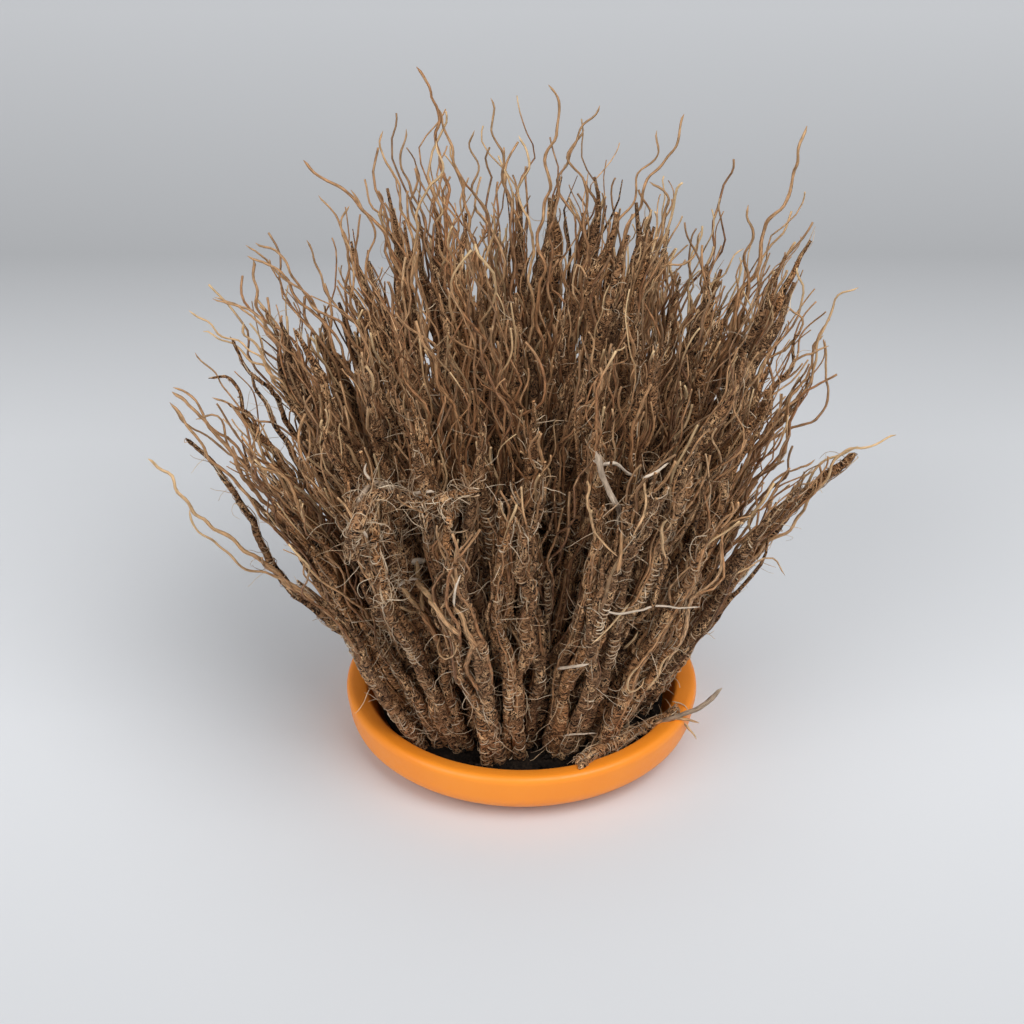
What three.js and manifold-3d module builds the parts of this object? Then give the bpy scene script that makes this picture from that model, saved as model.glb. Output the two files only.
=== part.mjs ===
// Vetiver roots standing in a shallow saucer: a dish, the dry soil that fills it,
// 57 locks of matted root that fan out of the soil, and one loose broken piece on the rim.
// Millimetres, +Z up, origin at the centre of the dish's foot, where it stands. The front is -Y.
import * as THREE from "three";
import { mergeVertices } from "three/addons/utils/BufferGeometryUtils.js";
import Module from "manifold-3d";

const wasm = await Module();
wasm.setup();

// ---- Driving dimensions -------------------------------------------------------------------

const RIM_RADIUS = 75; // the dish, across the outside of its lip
const DISH_HEIGHT = 24;
const LIP_WIDTH = 9; // the lip's near-flat top
const FOOT_RADIUS = 54; // the flat face that it stands on
const FLOOR_THICKNESS = 4;
const DISH_SEGMENTS = 48;

const GAP = 0.3; // between pieces that touch

const SOIL_Z = 15; // the soil's level at its edge
const SOIL_CROWN = 2; // how much higher it is in the middle
const SOCKET_DEPTH = 6; // how deep a lock stands in the soil

const LOCK_COUNT = 57;
const LOCK_SIDES = 7;
const LOCK_STEPS = 9;
const GOLDEN_ANGLE = Math.PI * (3 - Math.sqrt(5)); // spaces the locks evenly over the dish
const BASE_RADIUS = 53; // the outermost lock's distance from the axis, at the soil
const LEAN_SIDE = 0.5; // slope of the outermost locks to the left and right
const LEAN_FRONT = 0.42; // slope of the outermost locks to the front and back
const STRAY_LEAN = 0.34; // more slope for the lowest locks at the far left and right
const STRAY_FROM = 0.88; // how far out, on the unit disc, a lock begins to stray, and strays fully
const STRAY_FULL = 0.96;
const STRAY_SHORTER = 0.22; // a stray lock is this share lower
const CENTRE_HEIGHT = 246; // the middle lock's tip above the soil
const EDGE_DROP = 72; // how much lower the outermost tips are
const BACK_RISE = 16; // tips at the back stand higher, and those at the front lower
const HEIGHT_VARIES = 0.07;
const SWAY = 0.018; // sideways wander of a lock, as a share of its height above the soil
const SWAY_LENGTH = 95;

const LOCK_FOOT_RADIUS = 4.9; // a lock where it leaves the soil
const LOCK_SPREAD = 0.034; // its roots loosen and spread by this share of their height
const LOCK_TIP_RADIUS = 1.3;
const LOOSE_FROM = 0.6; // above this share of its height a lock narrows to its tip

const TIP_ROUND = 0.5; // the share of a tip's radius that its end rounds over

// ---- Materials ----------------------------------------------------------------------------

const orangePlastic = new THREE.MeshStandardMaterial({ color: 0xf08a1e, roughness: 0.45 });
const darkSoil = new THREE.MeshStandardMaterial({ color: 0x1e1510, roughness: 1.0 });
const rootBrown = new THREE.MeshStandardMaterial({ color: 0x7a5a3c, roughness: 0.9 });
const paleRoot = new THREE.MeshStandardMaterial({ color: 0x9a7c58, roughness: 0.85 });

// ---- Helpers ------------------------------------------------------------------------------

/** A closed round solid from a profile of [radius, height] that starts and ends on the axis. */
function turned(profile, segments) {
  const points = profile.map(([r, z]) => new THREE.Vector2(r, z));
  return new THREE.LatheGeometry(points, segments).rotateX(Math.PI / 2);
}

/** Bends a solid that stands along Z so that its axis follows centre(z), which gives a Vector3. */
function bend(geometry, centre) {
  const position = geometry.getAttribute("position");
  const step = 0.5;
  for (let i = 0; i < position.count; i++) {
    const z = position.getZ(i);
    const along = centre(z + step).sub(centre(z - step)).normalize();
    const across = new THREE.Vector3(1, 0, 0).addScaledVector(along, -along.x).normalize();
    const aside = new THREE.Vector3().crossVectors(along, across);
    const point = centre(z)
      .addScaledVector(across, position.getX(i))
      .addScaledVector(aside, position.getY(i));
    position.setXYZ(i, point.x, point.y, point.z);
  }
  return geometry;
}

/** A three.js geometry as a manifold-3d solid. */
function solidOf(geometry) {
  const bare = geometry.index ? geometry.toNonIndexed() : geometry.clone();
  bare.deleteAttribute("normal");
  bare.deleteAttribute("uv");
  const merged = mergeVertices(bare, 1e-3);
  return new wasm.Manifold(
    new wasm.Mesh({
      numProp: 3,
      vertProperties: merged.getAttribute("position").array,
      triVerts: new Uint32Array(merged.index.array),
    }),
  );
}

/** A manifold-3d solid as a three.js geometry. */
function geometryOf(solid) {
  const mesh = solid.getMesh();
  const made = new THREE.BufferGeometry();
  made.setAttribute("position", new THREE.BufferAttribute(mesh.vertProperties, 3));
  made.setIndex(new THREE.BufferAttribute(mesh.triVerts, 1));
  return made;
}

/** A repeatable number from 0 to 1 for lock i and trait k. */
function varied(i, k) {
  const wave = Math.sin(i * 12.9898 + k * 78.233) * 43758.5453;
  return wave - Math.floor(wave);
}

function named(name, geometry, material) {
  const mesh = new THREE.Mesh(geometry, material);
  mesh.name = name;
  return mesh;
}

// ---- Dish ---------------------------------------------------------------------------------

/** A thick-lipped saucer: a flat foot, a flared underside, a short upright band and a broad lip. */
function dish() {
  const outline = new THREE.Path();
  outline.moveTo(0, 0);
  outline.lineTo(FOOT_RADIUS, 0);
  outline.quadraticCurveTo(RIM_RADIUS - 7, 2, RIM_RADIUS - 2.5, 10);
  outline.lineTo(RIM_RADIUS, DISH_HEIGHT - 2);
  outline.quadraticCurveTo(RIM_RADIUS, DISH_HEIGHT, RIM_RADIUS - 1.8, DISH_HEIGHT);
  outline.lineTo(RIM_RADIUS - LIP_WIDTH, DISH_HEIGHT - 1);
  outline.quadraticCurveTo(
    RIM_RADIUS - LIP_WIDTH - 1.2,
    DISH_HEIGHT - 1.2,
    RIM_RADIUS - LIP_WIDTH - 1.6,
    DISH_HEIGHT - 3,
  );
  outline.lineTo(FOOT_RADIUS + 6, FLOOR_THICKNESS + 3);
  outline.quadraticCurveTo(FOOT_RADIUS + 5, FLOOR_THICKNESS, FOOT_RADIUS, FLOOR_THICKNESS);
  outline.lineTo(0, FLOOR_THICKNESS);
  const profile = outline.getPoints(4).map((p) => [p.x, p.y]);
  return named("dish", turned(profile, DISH_SEGMENTS), orangePlastic);
}

// ---- Locks of root ------------------------------------------------------------------------

/** Where lock i stands on the unit disc, and its height above the soil. */
function lockPlan(i) {
  const share = Math.sqrt((i + 0.5) / LOCK_COUNT);
  const turn = i * GOLDEN_ANGLE;
  const x = share * Math.cos(turn);
  const y = share * Math.sin(turn);
  const height =
    (CENTRE_HEIGHT - EDGE_DROP * share * share + BACK_RISE * y) *
    (1 + HEIGHT_VARIES * (2 * varied(i, 1) - 1));
  // The outermost locks within a few degrees of straight left or right lean out furthest.
  const outermost = THREE.MathUtils.smoothstep(Math.abs(x), STRAY_FROM, STRAY_FULL);
  return { x, y, height: height * (1 - STRAY_SHORTER * outermost), stray: outermost };
}

/** The centreline of lock i: its point at a height above the foot of the dish. */
function lockCentre(i) {
  const { x, y, stray } = lockPlan(i);
  const phase = 2 * Math.PI * varied(i, 2);
  return (z) => {
    const rise = z - SOIL_Z;
    const sway = SWAY * Math.max(rise, 0) * Math.sin((2 * Math.PI * rise) / SWAY_LENGTH + phase);
    return new THREE.Vector3(
      x * (BASE_RADIUS + (LEAN_SIDE + STRAY_LEAN * stray) * rise) + sway,
      y * (BASE_RADIUS + LEAN_FRONT * rise) + sway * 0.6,
      z,
    );
  };
}

/** The radius of a lock at a height above the soil: it spreads, then narrows to its tip. */
function lockRadius(rise, height) {
  const widest = LOCK_FOOT_RADIUS + LOCK_SPREAD * height * LOOSE_FROM;
  const share = rise / height;
  if (share <= LOOSE_FROM) return LOCK_FOOT_RADIUS + LOCK_SPREAD * Math.max(rise, 0);
  const loose = (share - LOOSE_FROM) / (1 - LOOSE_FROM);
  return THREE.MathUtils.lerp(widest, LOCK_TIP_RADIUS, loose * (0.4 + 0.6 * loose));
}

function rootLock(i) {
  const { height } = lockPlan(i);
  const foot = SOIL_Z - SOCKET_DEPTH;
  const profile = [
    [0, foot],
    [LOCK_FOOT_RADIUS * 0.9, foot],
  ];
  for (let k = 0; k <= LOCK_STEPS; k++) {
    const rise = (height * k) / LOCK_STEPS;
    profile.push([lockRadius(rise, height), SOIL_Z + rise]);
  }
  profile.push([0, SOIL_Z + height + TIP_ROUND * LOCK_TIP_RADIUS]);
  const geometry = bend(turned(profile, LOCK_SIDES), lockCentre(i));
  return named(`root_lock_${String(i + 1).padStart(2, "0")}`, geometry, rootBrown);
}

// ---- Soil ---------------------------------------------------------------------------------

/** The socket that lock i leaves in the soil, a gap wider than the lock all round. */
function socket(i) {
  const radius = LOCK_FOOT_RADIUS + LOCK_SPREAD * SOCKET_DEPTH + GAP + 0.1;
  const foot = SOIL_Z - SOCKET_DEPTH - GAP;
  const top = SOIL_Z + SOIL_CROWN + 4;
  const profile = [
    [0, foot],
    [radius, foot],
    [radius, top],
    [0, top],
  ];
  return solidOf(bend(turned(profile, LOCK_SIDES), lockCentre(i)));
}

function soilBed() {
  const floor = FLOOR_THICKNESS + GAP;
  const wall = FOOT_RADIUS + 5.2;
  const profile = [
    [0, floor],
    [FOOT_RADIUS - 1, floor],
    [wall, floor + 3.4],
    [wall + 1.9, SOIL_Z],
    [wall - 6, SOIL_Z + 0.4 * SOIL_CROWN],
    [wall / 2, SOIL_Z + 0.9 * SOIL_CROWN],
    [0, SOIL_Z + SOIL_CROWN],
  ];
  let soil = solidOf(turned(profile, DISH_SEGMENTS / 2));
  for (let i = 0; i < LOCK_COUNT; i++) soil = soil.subtract(socket(i));
  return named("soil_bed", geometryOf(soil), darkSoil);
}

// ---- Loose broken piece -------------------------------------------------------------------

const LOOSE_RADIUS = 3.3;
const LOOSE_FROM_TURN = -1.28; // radians round the rim from +X, towards the front
const LOOSE_TO_TURN = -0.5;
const LOOSE_LENGTH = 82;

/** A short frayed piece of root that lies along the lip, front right, its thin end off the rim. */
function looseRoot() {
  const lying = RIM_RADIUS - LIP_WIDTH / 2;
  const rest = DISH_HEIGHT + LOOSE_RADIUS + GAP;
  const round = (turn) => new THREE.Vector3(lying * Math.cos(turn), lying * Math.sin(turn), rest);
  const end = round(LOOSE_TO_TURN);
  const route = new THREE.CatmullRomCurve3([
    round(LOOSE_FROM_TURN),
    round((2 * LOOSE_FROM_TURN + LOOSE_TO_TURN) / 3),
    round((LOOSE_FROM_TURN + 2 * LOOSE_TO_TURN) / 3),
    end,
    end.clone().add(new THREE.Vector3(17, 14, 3)),
    end.clone().add(new THREE.Vector3(32, 20, 7)),
  ]);
  const shape = [
    [0, 0],
    [0.5, 0],
    [0.95, 0.06],
    [1, 0.3],
    [0.75, 0.55],
    [0.4, 0.72],
    [0.35, 1],
    [0, 1],
  ];
  const profile = shape.map(([r, share]) => [r * LOOSE_RADIUS, share * LOOSE_LENGTH]);
  const along = (z) => {
    const share = THREE.MathUtils.clamp(z / LOOSE_LENGTH, 0, 1);
    const past = z - share * LOOSE_LENGTH;
    return route.getPointAt(share).addScaledVector(route.getTangentAt(share), past);
  };
  return named("loose_root_piece", bend(turned(profile, LOCK_SIDES), along), paleRoot);
}

// ---- Assembly -----------------------------------------------------------------------------

const vetiver = new THREE.Group();
vetiver.add(dish(), soilBed(), looseRoot());
for (let i = 0; i < LOCK_COUNT; i++) vetiver.add(rootLock(i));

export default vetiver;
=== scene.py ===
"""A bundle of dried vetiver roots standing in a shallow saucer, dressed for its picture.

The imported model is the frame. Each lock of root follows the axis of its CAD solid, and is
grown here as matted cores, long strands, felted hair and loose hairs. Sizes are in
millimetres, and meshes are written in metres.
"""

import logging
import math
from collections.abc import Callable
from dataclasses import dataclass, field
from enum import Enum

import bpy
import numpy as np
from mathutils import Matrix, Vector


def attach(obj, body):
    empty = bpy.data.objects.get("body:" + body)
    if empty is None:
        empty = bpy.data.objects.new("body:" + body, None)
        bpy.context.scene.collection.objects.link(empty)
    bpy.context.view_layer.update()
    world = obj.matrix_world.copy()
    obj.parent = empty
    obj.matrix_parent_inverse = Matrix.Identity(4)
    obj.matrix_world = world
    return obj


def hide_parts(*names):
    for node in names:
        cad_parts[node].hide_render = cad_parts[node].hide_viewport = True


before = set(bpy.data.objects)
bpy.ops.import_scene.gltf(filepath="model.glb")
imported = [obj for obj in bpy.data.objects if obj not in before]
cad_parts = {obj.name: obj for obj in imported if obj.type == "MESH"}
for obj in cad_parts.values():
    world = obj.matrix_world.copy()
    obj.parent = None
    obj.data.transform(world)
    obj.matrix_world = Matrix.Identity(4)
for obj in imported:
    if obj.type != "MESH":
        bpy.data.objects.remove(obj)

Array = np.ndarray
Material = bpy.types.Material
Piece = bpy.types.Object

log = logging.getLogger("vetiver")
SEED = 41
MM = 0.001
TURN = 2 * math.pi
WAVE_STRETCH = (0.7, 1.4)
WAVE_GAIN = (0.5, 1.4)
NEARLY_ALONG_X = 0.8
GRAIN_SPAN = 400.0
SHEET_GAP = 1.5
END_DISC = 0.25
END_DROP = 0.35


# ---- Numbers along a fibre ------------------------------------------------------------------


def smooth(low: float, high: float, value: Array) -> Array:
    """Rises smoothly from 0 at low to 1 at high."""
    share = np.clip((value - low) / (high - low), 0.0, 1.0)
    return share * share * (3 - 2 * share)


def unit(vectors: Array) -> Array:
    """Vectors scaled to length 1."""
    return vectors / np.maximum(np.linalg.norm(vectors, axis=-1, keepdims=True), 1e-9)


def wander(
    rng: np.random.Generator,
    count: int,
    along: Array,
    waves: tuple[tuple[float, float], ...],
    kink: float = 0.0,
) -> Array:
    """Sideways wander of several fibres, in two directions.

    Args:
        rng: Where the chance comes from.
        count: How many fibres.
        along: Distances along them, (K,) or (count, K).
        waves: Pairs of a wave's length and its size.
        kink: 0 gives soft waves, and more gives straight runs between sharp bends.

    Returns:
        An array (count, K, 2).
    """
    total = np.zeros((count, along.shape[-1], 2))
    for length, size in waves:
        phase = rng.uniform(0, TURN, (count, 1, 2))
        stretch = rng.uniform(*WAVE_STRETCH, (count, 1, 2))
        gain = rng.uniform(*WAVE_GAIN, (count, 1, 1))
        wave = np.sin(along[..., None] * TURN / (length * stretch) + phase)
        if kink:
            wave = np.tanh(kink * wave) / math.tanh(kink)
        total += size * gain * wave
    return total


def side_frames(paths: Array) -> tuple[Array, Array, Array]:
    """Directions along and across each path, carried along it without twist.

    Args:
        paths: Points (N, K, 3).

    Returns:
        The tangents and two directions across them, each (N, K, 3).
    """
    along = unit(np.gradient(paths, axis=1))
    across = np.empty_like(along)
    upright = np.abs(along[:, 0, :1]) < NEARLY_ALONG_X
    start = np.where(upright, [[1.0, 0, 0]], [[0, 1.0, 0]])
    for k in range(paths.shape[1]):
        here = along[:, k]
        start = unit(start - (start * here).sum(-1, keepdims=True) * here)
        across[:, k] = start
    return along, across, np.cross(along, across)


# ---- Tubes gathered into one mesh -----------------------------------------------------------


class Coat(Enum):
    """Which finish a tube wears: its place in the piece's list of materials."""

    MATTED = 0
    BARE = 1
    HAIR = 2
    DEAD = 3


@dataclass
class Tubes:
    """Tubes with the same number of rings and sides.

    Fields:
        paths: Points (N, K, 3), mm.
        radii: Radii that fit (N, K, sides), mm.
        sides: How many faces go round.
        coat: The finish.
        tone: Each tube's place in its finish's range of colours, (N,).
        pale: How bleached each ring is, (N, K).
    """

    paths: Array
    radii: Array
    sides: int
    coat: Coat
    tone: Array
    pale: Array

    @property
    def count(self) -> int:
        """How many tubes there are."""
        return self.paths.shape[0]

    @property
    def rings(self) -> int:
        """How many rings each tube has."""
        return self.paths.shape[1]

    def points(self) -> Array:
        """Sets out the vertices round every path.

        Returns:
            Every vertex, (N * K * sides, 3), mm.
        """
        _, across, aside = side_frames(self.paths)
        turn = np.arange(self.sides) * TURN / self.sides
        round_off = (
            np.cos(turn)[:, None] * across[:, :, None]
            + np.sin(turn)[:, None] * aside[:, :, None]
        )
        size = (self.count, self.rings, self.sides)
        radii = np.broadcast_to(self.radii, size)
        return (self.paths[:, :, None] + radii[..., None] * round_off).reshape(-1, 3)

    def lengths(self) -> Array:
        """Distance along each tube at each ring, (N, K), mm."""
        steps = np.linalg.norm(np.diff(self.paths, axis=1), axis=-1)
        return np.concatenate([np.zeros((self.count, 1)), np.cumsum(steps, 1)], 1)

    def girths(self) -> Array:
        """The distance round each tube, on average, (N,), mm."""
        radii = np.broadcast_to(self.radii, (self.count, self.rings, self.sides))
        return TURN * radii.mean((1, 2))

    def faces(self, base: int) -> tuple[Array, Array]:
        """The vertices of every face.

        Args:
            base: The number of the first vertex.

        Returns:
            The faces round the tubes, (N, K - 1, sides, 4), and their ends, (N, 2, sides).
        """
        size = (self.count, self.rings, self.sides)
        index = base + np.arange(math.prod(size)).reshape(size)
        turned = np.roll(index, -1, axis=2)
        quads = np.stack([index[:, :-1], turned[:, :-1], turned[:, 1:], index[:, 1:]], axis=-1)
        return quads, np.stack([index[:, 0, ::-1], index[:, -1]], axis=1)

    def unrolled(self, left: Array, low: Array, scale: float) -> Array:
        """A flat place for each face corner, in the order of the faces.

        Args:
            left: Each tube's left edge on the flat map, mm.
            low: Each tube's lower edge, mm.
            scale: What the places are multiplied by at the end.

        Returns:
            Places (C, 2): every tube as an upright strip, with a small disc at each end.
        """
        n, s = self.count, self.sides
        run, wide = self.lengths(), self.girths()
        x, y = np.broadcast_arrays(
            left[:, None, None] + wide[:, None, None] * (np.arange(s + 1) / s),
            low[:, None, None] + run[:, :, None],
        )
        flat = np.stack([x, y], -1) * scale
        strip = np.stack(
            [flat[:, :-1, :-1], flat[:, :-1, 1:], flat[:, 1:, 1:], flat[:, 1:, :-1]], axis=3
        )
        ring = np.arange(s) * TURN / s
        disc = np.stack([np.cos(ring), np.sin(ring)], -1) * END_DISC
        middle = left + wide / 2
        ends = np.empty((n, 2, s, 2))
        ends[:, 0] = np.stack([middle, low - END_DROP], -1)[:, None] + disc[::-1]
        ends[:, 1] = np.stack([middle, low + run[:, -1] + END_DROP], -1)[:, None] + disc
        return np.concatenate([strip.reshape(-1, 2), (ends * scale).reshape(-1, 2)])


def shelves(width: Array, height: Array) -> tuple[Array, Array, float]:
    """Lays rectangles out in rows, tallest first, in a square.

    Args:
        width: Each rectangle's width.
        height: Each rectangle's height.

    Returns:
        Each rectangle's left and bottom edges, and the side of the square.
    """
    order = np.argsort(-height, kind="stable")
    left, low = np.zeros(len(width)), np.zeros(len(width))
    side = math.sqrt(float((width * height).sum()) * 1.04)
    while True:
        x = y = row = 0.0
        for i in order:
            if x == 0.0 or x + width[i] > side:
                y, x, row = y + row, 0.0, height[i]
            left[i], low[i] = x, y
            x += width[i]
        if y + row <= side:
            return left, low, side
        side *= 1.02


@dataclass
class Sheaf:
    """Closed tubes gathered into one piece, with colour tones and maps for its finishes."""

    parts: list[Tubes] = field(default_factory=list)

    def add(
        self,
        paths: Array,
        radii: Array,
        sides: int,
        coat: Coat,
        tone: Array,
        pale: Array | float = 0.0,
    ) -> None:
        """Adds tubes.

        Args:
            paths: Points (N, K, 3), mm.
            radii: Radii that fit (N, K, sides), mm.
            sides: How many faces go round.
            coat: The finish.
            tone: Each tube's place in its finish's range of colours, (N,).
            pale: How bleached each ring is, that fits (N, K).
        """
        pale = np.broadcast_to(pale, paths.shape[:2])
        self.parts.append(Tubes(paths, radii, sides, coat, np.asarray(tone), pale))

    def build(self, name: str, materials: list[Material], rng: np.random.Generator) -> Piece:
        """Makes the mesh object.

        Args:
            name: The piece's name.
            materials: The finishes, in the order of Coat.
            rng: Where each tube's place on the grain's pattern comes from.

        Returns:
            The new object, in the scene.
        """
        girth = np.concatenate([t.girths() for t in self.parts])
        length = np.concatenate([t.lengths()[:, -1] for t in self.parts])
        left, low, side = shelves(girth * 1.15 + END_DISC, length * 1.02 + SHEET_GAP)
        left, low = left + END_DISC / 2, low + SHEET_GAP / 2
        points, corners, totals, slots = [], [], [], []
        grain, sheet, tone, pale = [], [], [], []
        base = first = 0
        for tubes in self.parts:
            mine = slice(first, first + tubes.count)
            quads, ends = tubes.faces(base)
            around, caps = quads.size // 4, 2 * tubes.count
            points.append(tubes.points())
            corners += [quads.ravel(), ends.ravel()]
            totals += [np.full(around, 4), np.full(caps, tubes.sides)]
            slots.append(np.full(around + caps, tubes.coat.value))
            start = rng.uniform(0, GRAIN_SPAN, (tubes.count, 2))
            grain.append(tubes.unrolled(start[:, 0], start[:, 1], 1.0))
            sheet.append(tubes.unrolled(left[mine], low[mine], 1 / side))
            tone.append(np.repeat(tubes.tone, tubes.rings * tubes.sides))
            pale.append(np.repeat(tubes.pale.reshape(-1), tubes.sides))
            base += tubes.count * tubes.rings * tubes.sides
            first += tubes.count
        mesh = mesh_of(name, *(np.concatenate(part) for part in (points, corners, totals)))
        mesh.polygons.foreach_set("material_index", np.concatenate(slots).astype(np.int32))
        for title, values in (("grain", grain), ("OFBake", sheet)):
            layer = mesh.uv_layers.new(name=title)
            layer.uv.foreach_set("vector", np.concatenate(values).astype(np.float32).ravel())
        for title, values in (("tone", tone), ("pale", pale)):
            layer = mesh.attributes.new(title, "FLOAT", "POINT")
            layer.data.foreach_set("value", np.concatenate(values).astype(np.float32))
        return placed(name, mesh, materials)


def mesh_of(name: str, points: Array, corners: Array, totals: Array) -> bpy.types.Mesh:
    """A smooth mesh in metres.

    Args:
        name: The mesh's name.
        points: Vertices (V, 3), mm.
        corners: The vertex of each face corner, face after face.
        totals: How many corners each face has.

    Returns:
        The mesh.
    """
    mesh = bpy.data.meshes.new(name)
    mesh.vertices.add(len(points))
    mesh.vertices.foreach_set("co", (points * MM).astype(np.float32).ravel())
    mesh.loops.add(len(corners))
    mesh.loops.foreach_set("vertex_index", corners.astype(np.int32))
    mesh.polygons.add(len(totals))
    starts = np.concatenate([[0], np.cumsum(totals)[:-1]])
    mesh.polygons.foreach_set("loop_start", starts.astype(np.int32))
    mesh.polygons.foreach_set("use_smooth", np.ones(len(totals), bool))
    mesh.update(calc_edges=True)
    return mesh


def placed(name: str, mesh: bpy.types.Mesh, materials: list[Material]) -> Piece:
    """Puts a mesh in the scene.

    Args:
        name: The piece's name.
        mesh: Its mesh.
        materials: Its finishes.

    Returns:
        The new object.
    """
    piece = bpy.data.objects.new(name, mesh)
    for material in materials:
        mesh.materials.append(material)
    bpy.context.scene.collection.objects.link(piece)
    return piece


def settled(piece: Piece, slot: str, *nodes: str) -> None:
    """Rides a piece on the object, and reports it.

    Args:
        piece: The piece.
        slot: The name of a material slot; not used.
        nodes: The CAD nodes that it stands for.
    """
    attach(piece, "root")
    if nodes:
        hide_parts(*nodes)
    piece.data.calc_loop_triangles()
    log.info("%s: %d triangles", piece.name, len(piece.data.loop_triangles))


# ---- Shader nodes ---------------------------------------------------------------------------


Link = bpy.types.NodeSocket | float | tuple
Colour = tuple[float, float, float]
Group = bpy.types.NodeTree


@dataclass
class Graph:
    """A short way to write a node tree."""

    tree: bpy.types.NodeTree

    def node(
        self,
        kind: str,
        inputs: dict[str | int, Link] | None = None,
        **settings: str | bool,
    ) -> bpy.types.Node:
        """Adds a node.

        Args:
            kind: The node's type without its ShaderNode prefix.
            inputs: What each input gets: a socket to link, or a value.
            settings: The node's own properties.

        Returns:
            The node.
        """
        made = self.tree.nodes.new("ShaderNode" + kind)
        for key, value in settings.items():
            setattr(made, key, value)
        for key, value in (inputs or {}).items():
            if isinstance(value, bpy.types.NodeSocket):
                self.tree.links.new(value, made.inputs[key])
            else:
                made.inputs[key].default_value = value
        return made

    def math(self, operation: str, *values: Link, clamp: bool = False) -> bpy.types.NodeSocket:
        """A Math node's result.

        Args:
            operation: What it works out.
            values: Its inputs, in order.
            clamp: Whether the result is kept between 0 and 1.

        Returns:
            The result's socket.
        """
        inputs = dict(enumerate(values))
        return self.node("Math", inputs, operation=operation, use_clamp=clamp).outputs[0]

    def mix(self, share: Link, low: Link, high: Link, blend: str = "MIX") -> bpy.types.NodeSocket:
        """A colour between two, or one laid over the other.

        Args:
            share: How much of the second colour there is.
            low: The first colour.
            high: The second colour.
            blend: How they are put together.

        Returns:
            The colour's socket.
        """
        made = self.node("Mix", data_type="RGBA", blend_type=blend)
        for socket, value in ((0, share), (6, low), (7, high)):
            if isinstance(value, bpy.types.NodeSocket):
                self.tree.links.new(value, made.inputs[socket])
            else:
                made.inputs[socket].default_value = value
        return made.outputs[2]

    def range(
        self, value: Link, low: float, high: float, to_low: float, to_high: float
    ) -> bpy.types.NodeSocket:
        """A value carried smoothly from one range to another.

        Args:
            value: The value.
            low: Where its own range starts.
            high: Where its own range ends.
            to_low: Where the new range starts.
            to_high: Where the new range ends.

        Returns:
            The result's socket.
        """
        made = self.node("MapRange", {0: value, 1: low, 2: high, 3: to_low, 4: to_high})
        made.interpolation_type = "SMOOTHSTEP"
        return made.outputs[0]

    def ramp(self, value: Link, colours: tuple[Colour, ...]) -> bpy.types.NodeSocket:
        """A colour picked from an even ramp.

        Args:
            value: The place on the ramp, from 0 to 1.
            colours: The colours, from one end to the other.

        Returns:
            The colour's socket.
        """
        made = self.node("ValToRGB", {0: value})
        stops = made.color_ramp.elements
        while len(stops) < len(colours):
            stops.new(0.5)
        for i, colour in enumerate(colours):
            stops[i].position = i / (len(colours) - 1)
            stops[i].color = (*colour, 1.0)
        return made.outputs[0]


def new_group(
    name: str, inputs: dict[str, tuple[str, float]], outputs: dict[str, str]
) -> tuple[Group, Graph, bpy.types.Node, bpy.types.Node]:
    """An empty shader group with named sockets.

    Args:
        name: The group's name.
        inputs: Each input's name, with its kind and its default value.
        outputs: Each output's name, with its kind.

    Returns:
        The group, a graph on it, its input node and its output node.
    """
    tree = bpy.data.node_groups.new(name, "ShaderNodeTree")
    prefix = "NodeSocket"
    for title, (kind, value) in inputs.items():
        socket = tree.interface.new_socket(title, in_out="INPUT", socket_type=prefix + kind)
        if kind == "Float":
            socket.default_value = value
    for title, kind in outputs.items():
        tree.interface.new_socket(title, in_out="OUTPUT", socket_type=prefix + kind)
    graph = Graph(tree)
    entry = tree.nodes.new("NodeGroupInput")
    leave = tree.nodes.new("NodeGroupOutput")
    return tree, graph, entry, leave


def felt_group() -> Group:
    """Fine matted hair: thin curling ridges, some wound round and some running along.

    Returns:
        The group. Hair is 1 on a hair and 0 between, and Clump varies slowly.
    """
    tree, g, entry, leave = new_group(
        "felt",
        {"Vector": ("Vector", 0.0), "Scale": ("Float", 1.0)},
        {"Hair": "Float", "Clump": "Float"},
    )
    place = entry.outputs["Vector"]

    def ridges(scale: float, stretch: tuple[float, float], turn: float) -> bpy.types.NodeSocket:
        """Thin bright lines where a stretched noise crosses its middle value.

        Args:
            scale: How close the lines lie.
            stretch: How close they lie across and along; the smaller is the way they run.
            turn: How far they slant, radians.

        Returns:
            The lines' socket, 1 on a line.
        """
        middle, sharpness, narrowing = 0.5, 9.0, 1.5
        turned = g.node("Mapping", {0: place, 2: (0, 0, turn)}).outputs[0]
        spread = g.node("Mapping", {0: turned, 3: (*stretch, 1.0)}).outputs[0]
        size = g.math("MULTIPLY", entry.outputs["Scale"], scale)
        detail = {"Detail": 2.0, "Roughness": 0.6, "Distortion": 0.5}
        noise = g.node("TexNoise", {"Vector": spread, "Scale": size, **detail}).outputs[0]
        off = g.math("ABSOLUTE", g.math("SUBTRACT", noise, middle))
        line = g.math("SUBTRACT", 1.0, g.math("MULTIPLY", off, sharpness), clamp=True)
        return g.math("POWER", line, narrowing)

    wound = g.math("MAXIMUM", ridges(0.80, (0.30, 1.0), 0.30), ridges(0.62, (0.26, 1.0), -0.34))
    along = g.math("MAXIMUM", ridges(0.85, (1.0, 0.32), 0.30), ridges(0.60, (1.0, 0.38), -0.45))
    clump = g.node("TexNoise", {"Vector": place, "Scale": 0.13, "Detail": 3.0}).outputs[0]
    choice, shared_part = g.range(clump, 0.42, 0.58, 0.0, 1.0), 0.12
    first = g.math("MULTIPLY", wound, g.math("SUBTRACT", 1 + shared_part, choice))
    second = g.math("MULTIPLY", along, g.math("ADD", choice, shared_part))
    hair = g.math("MAXIMUM", first, second, clamp=True)
    g.tree.links.new(hair, leave.inputs["Hair"])
    g.tree.links.new(clump, leave.inputs["Clump"])
    return tree


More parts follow.
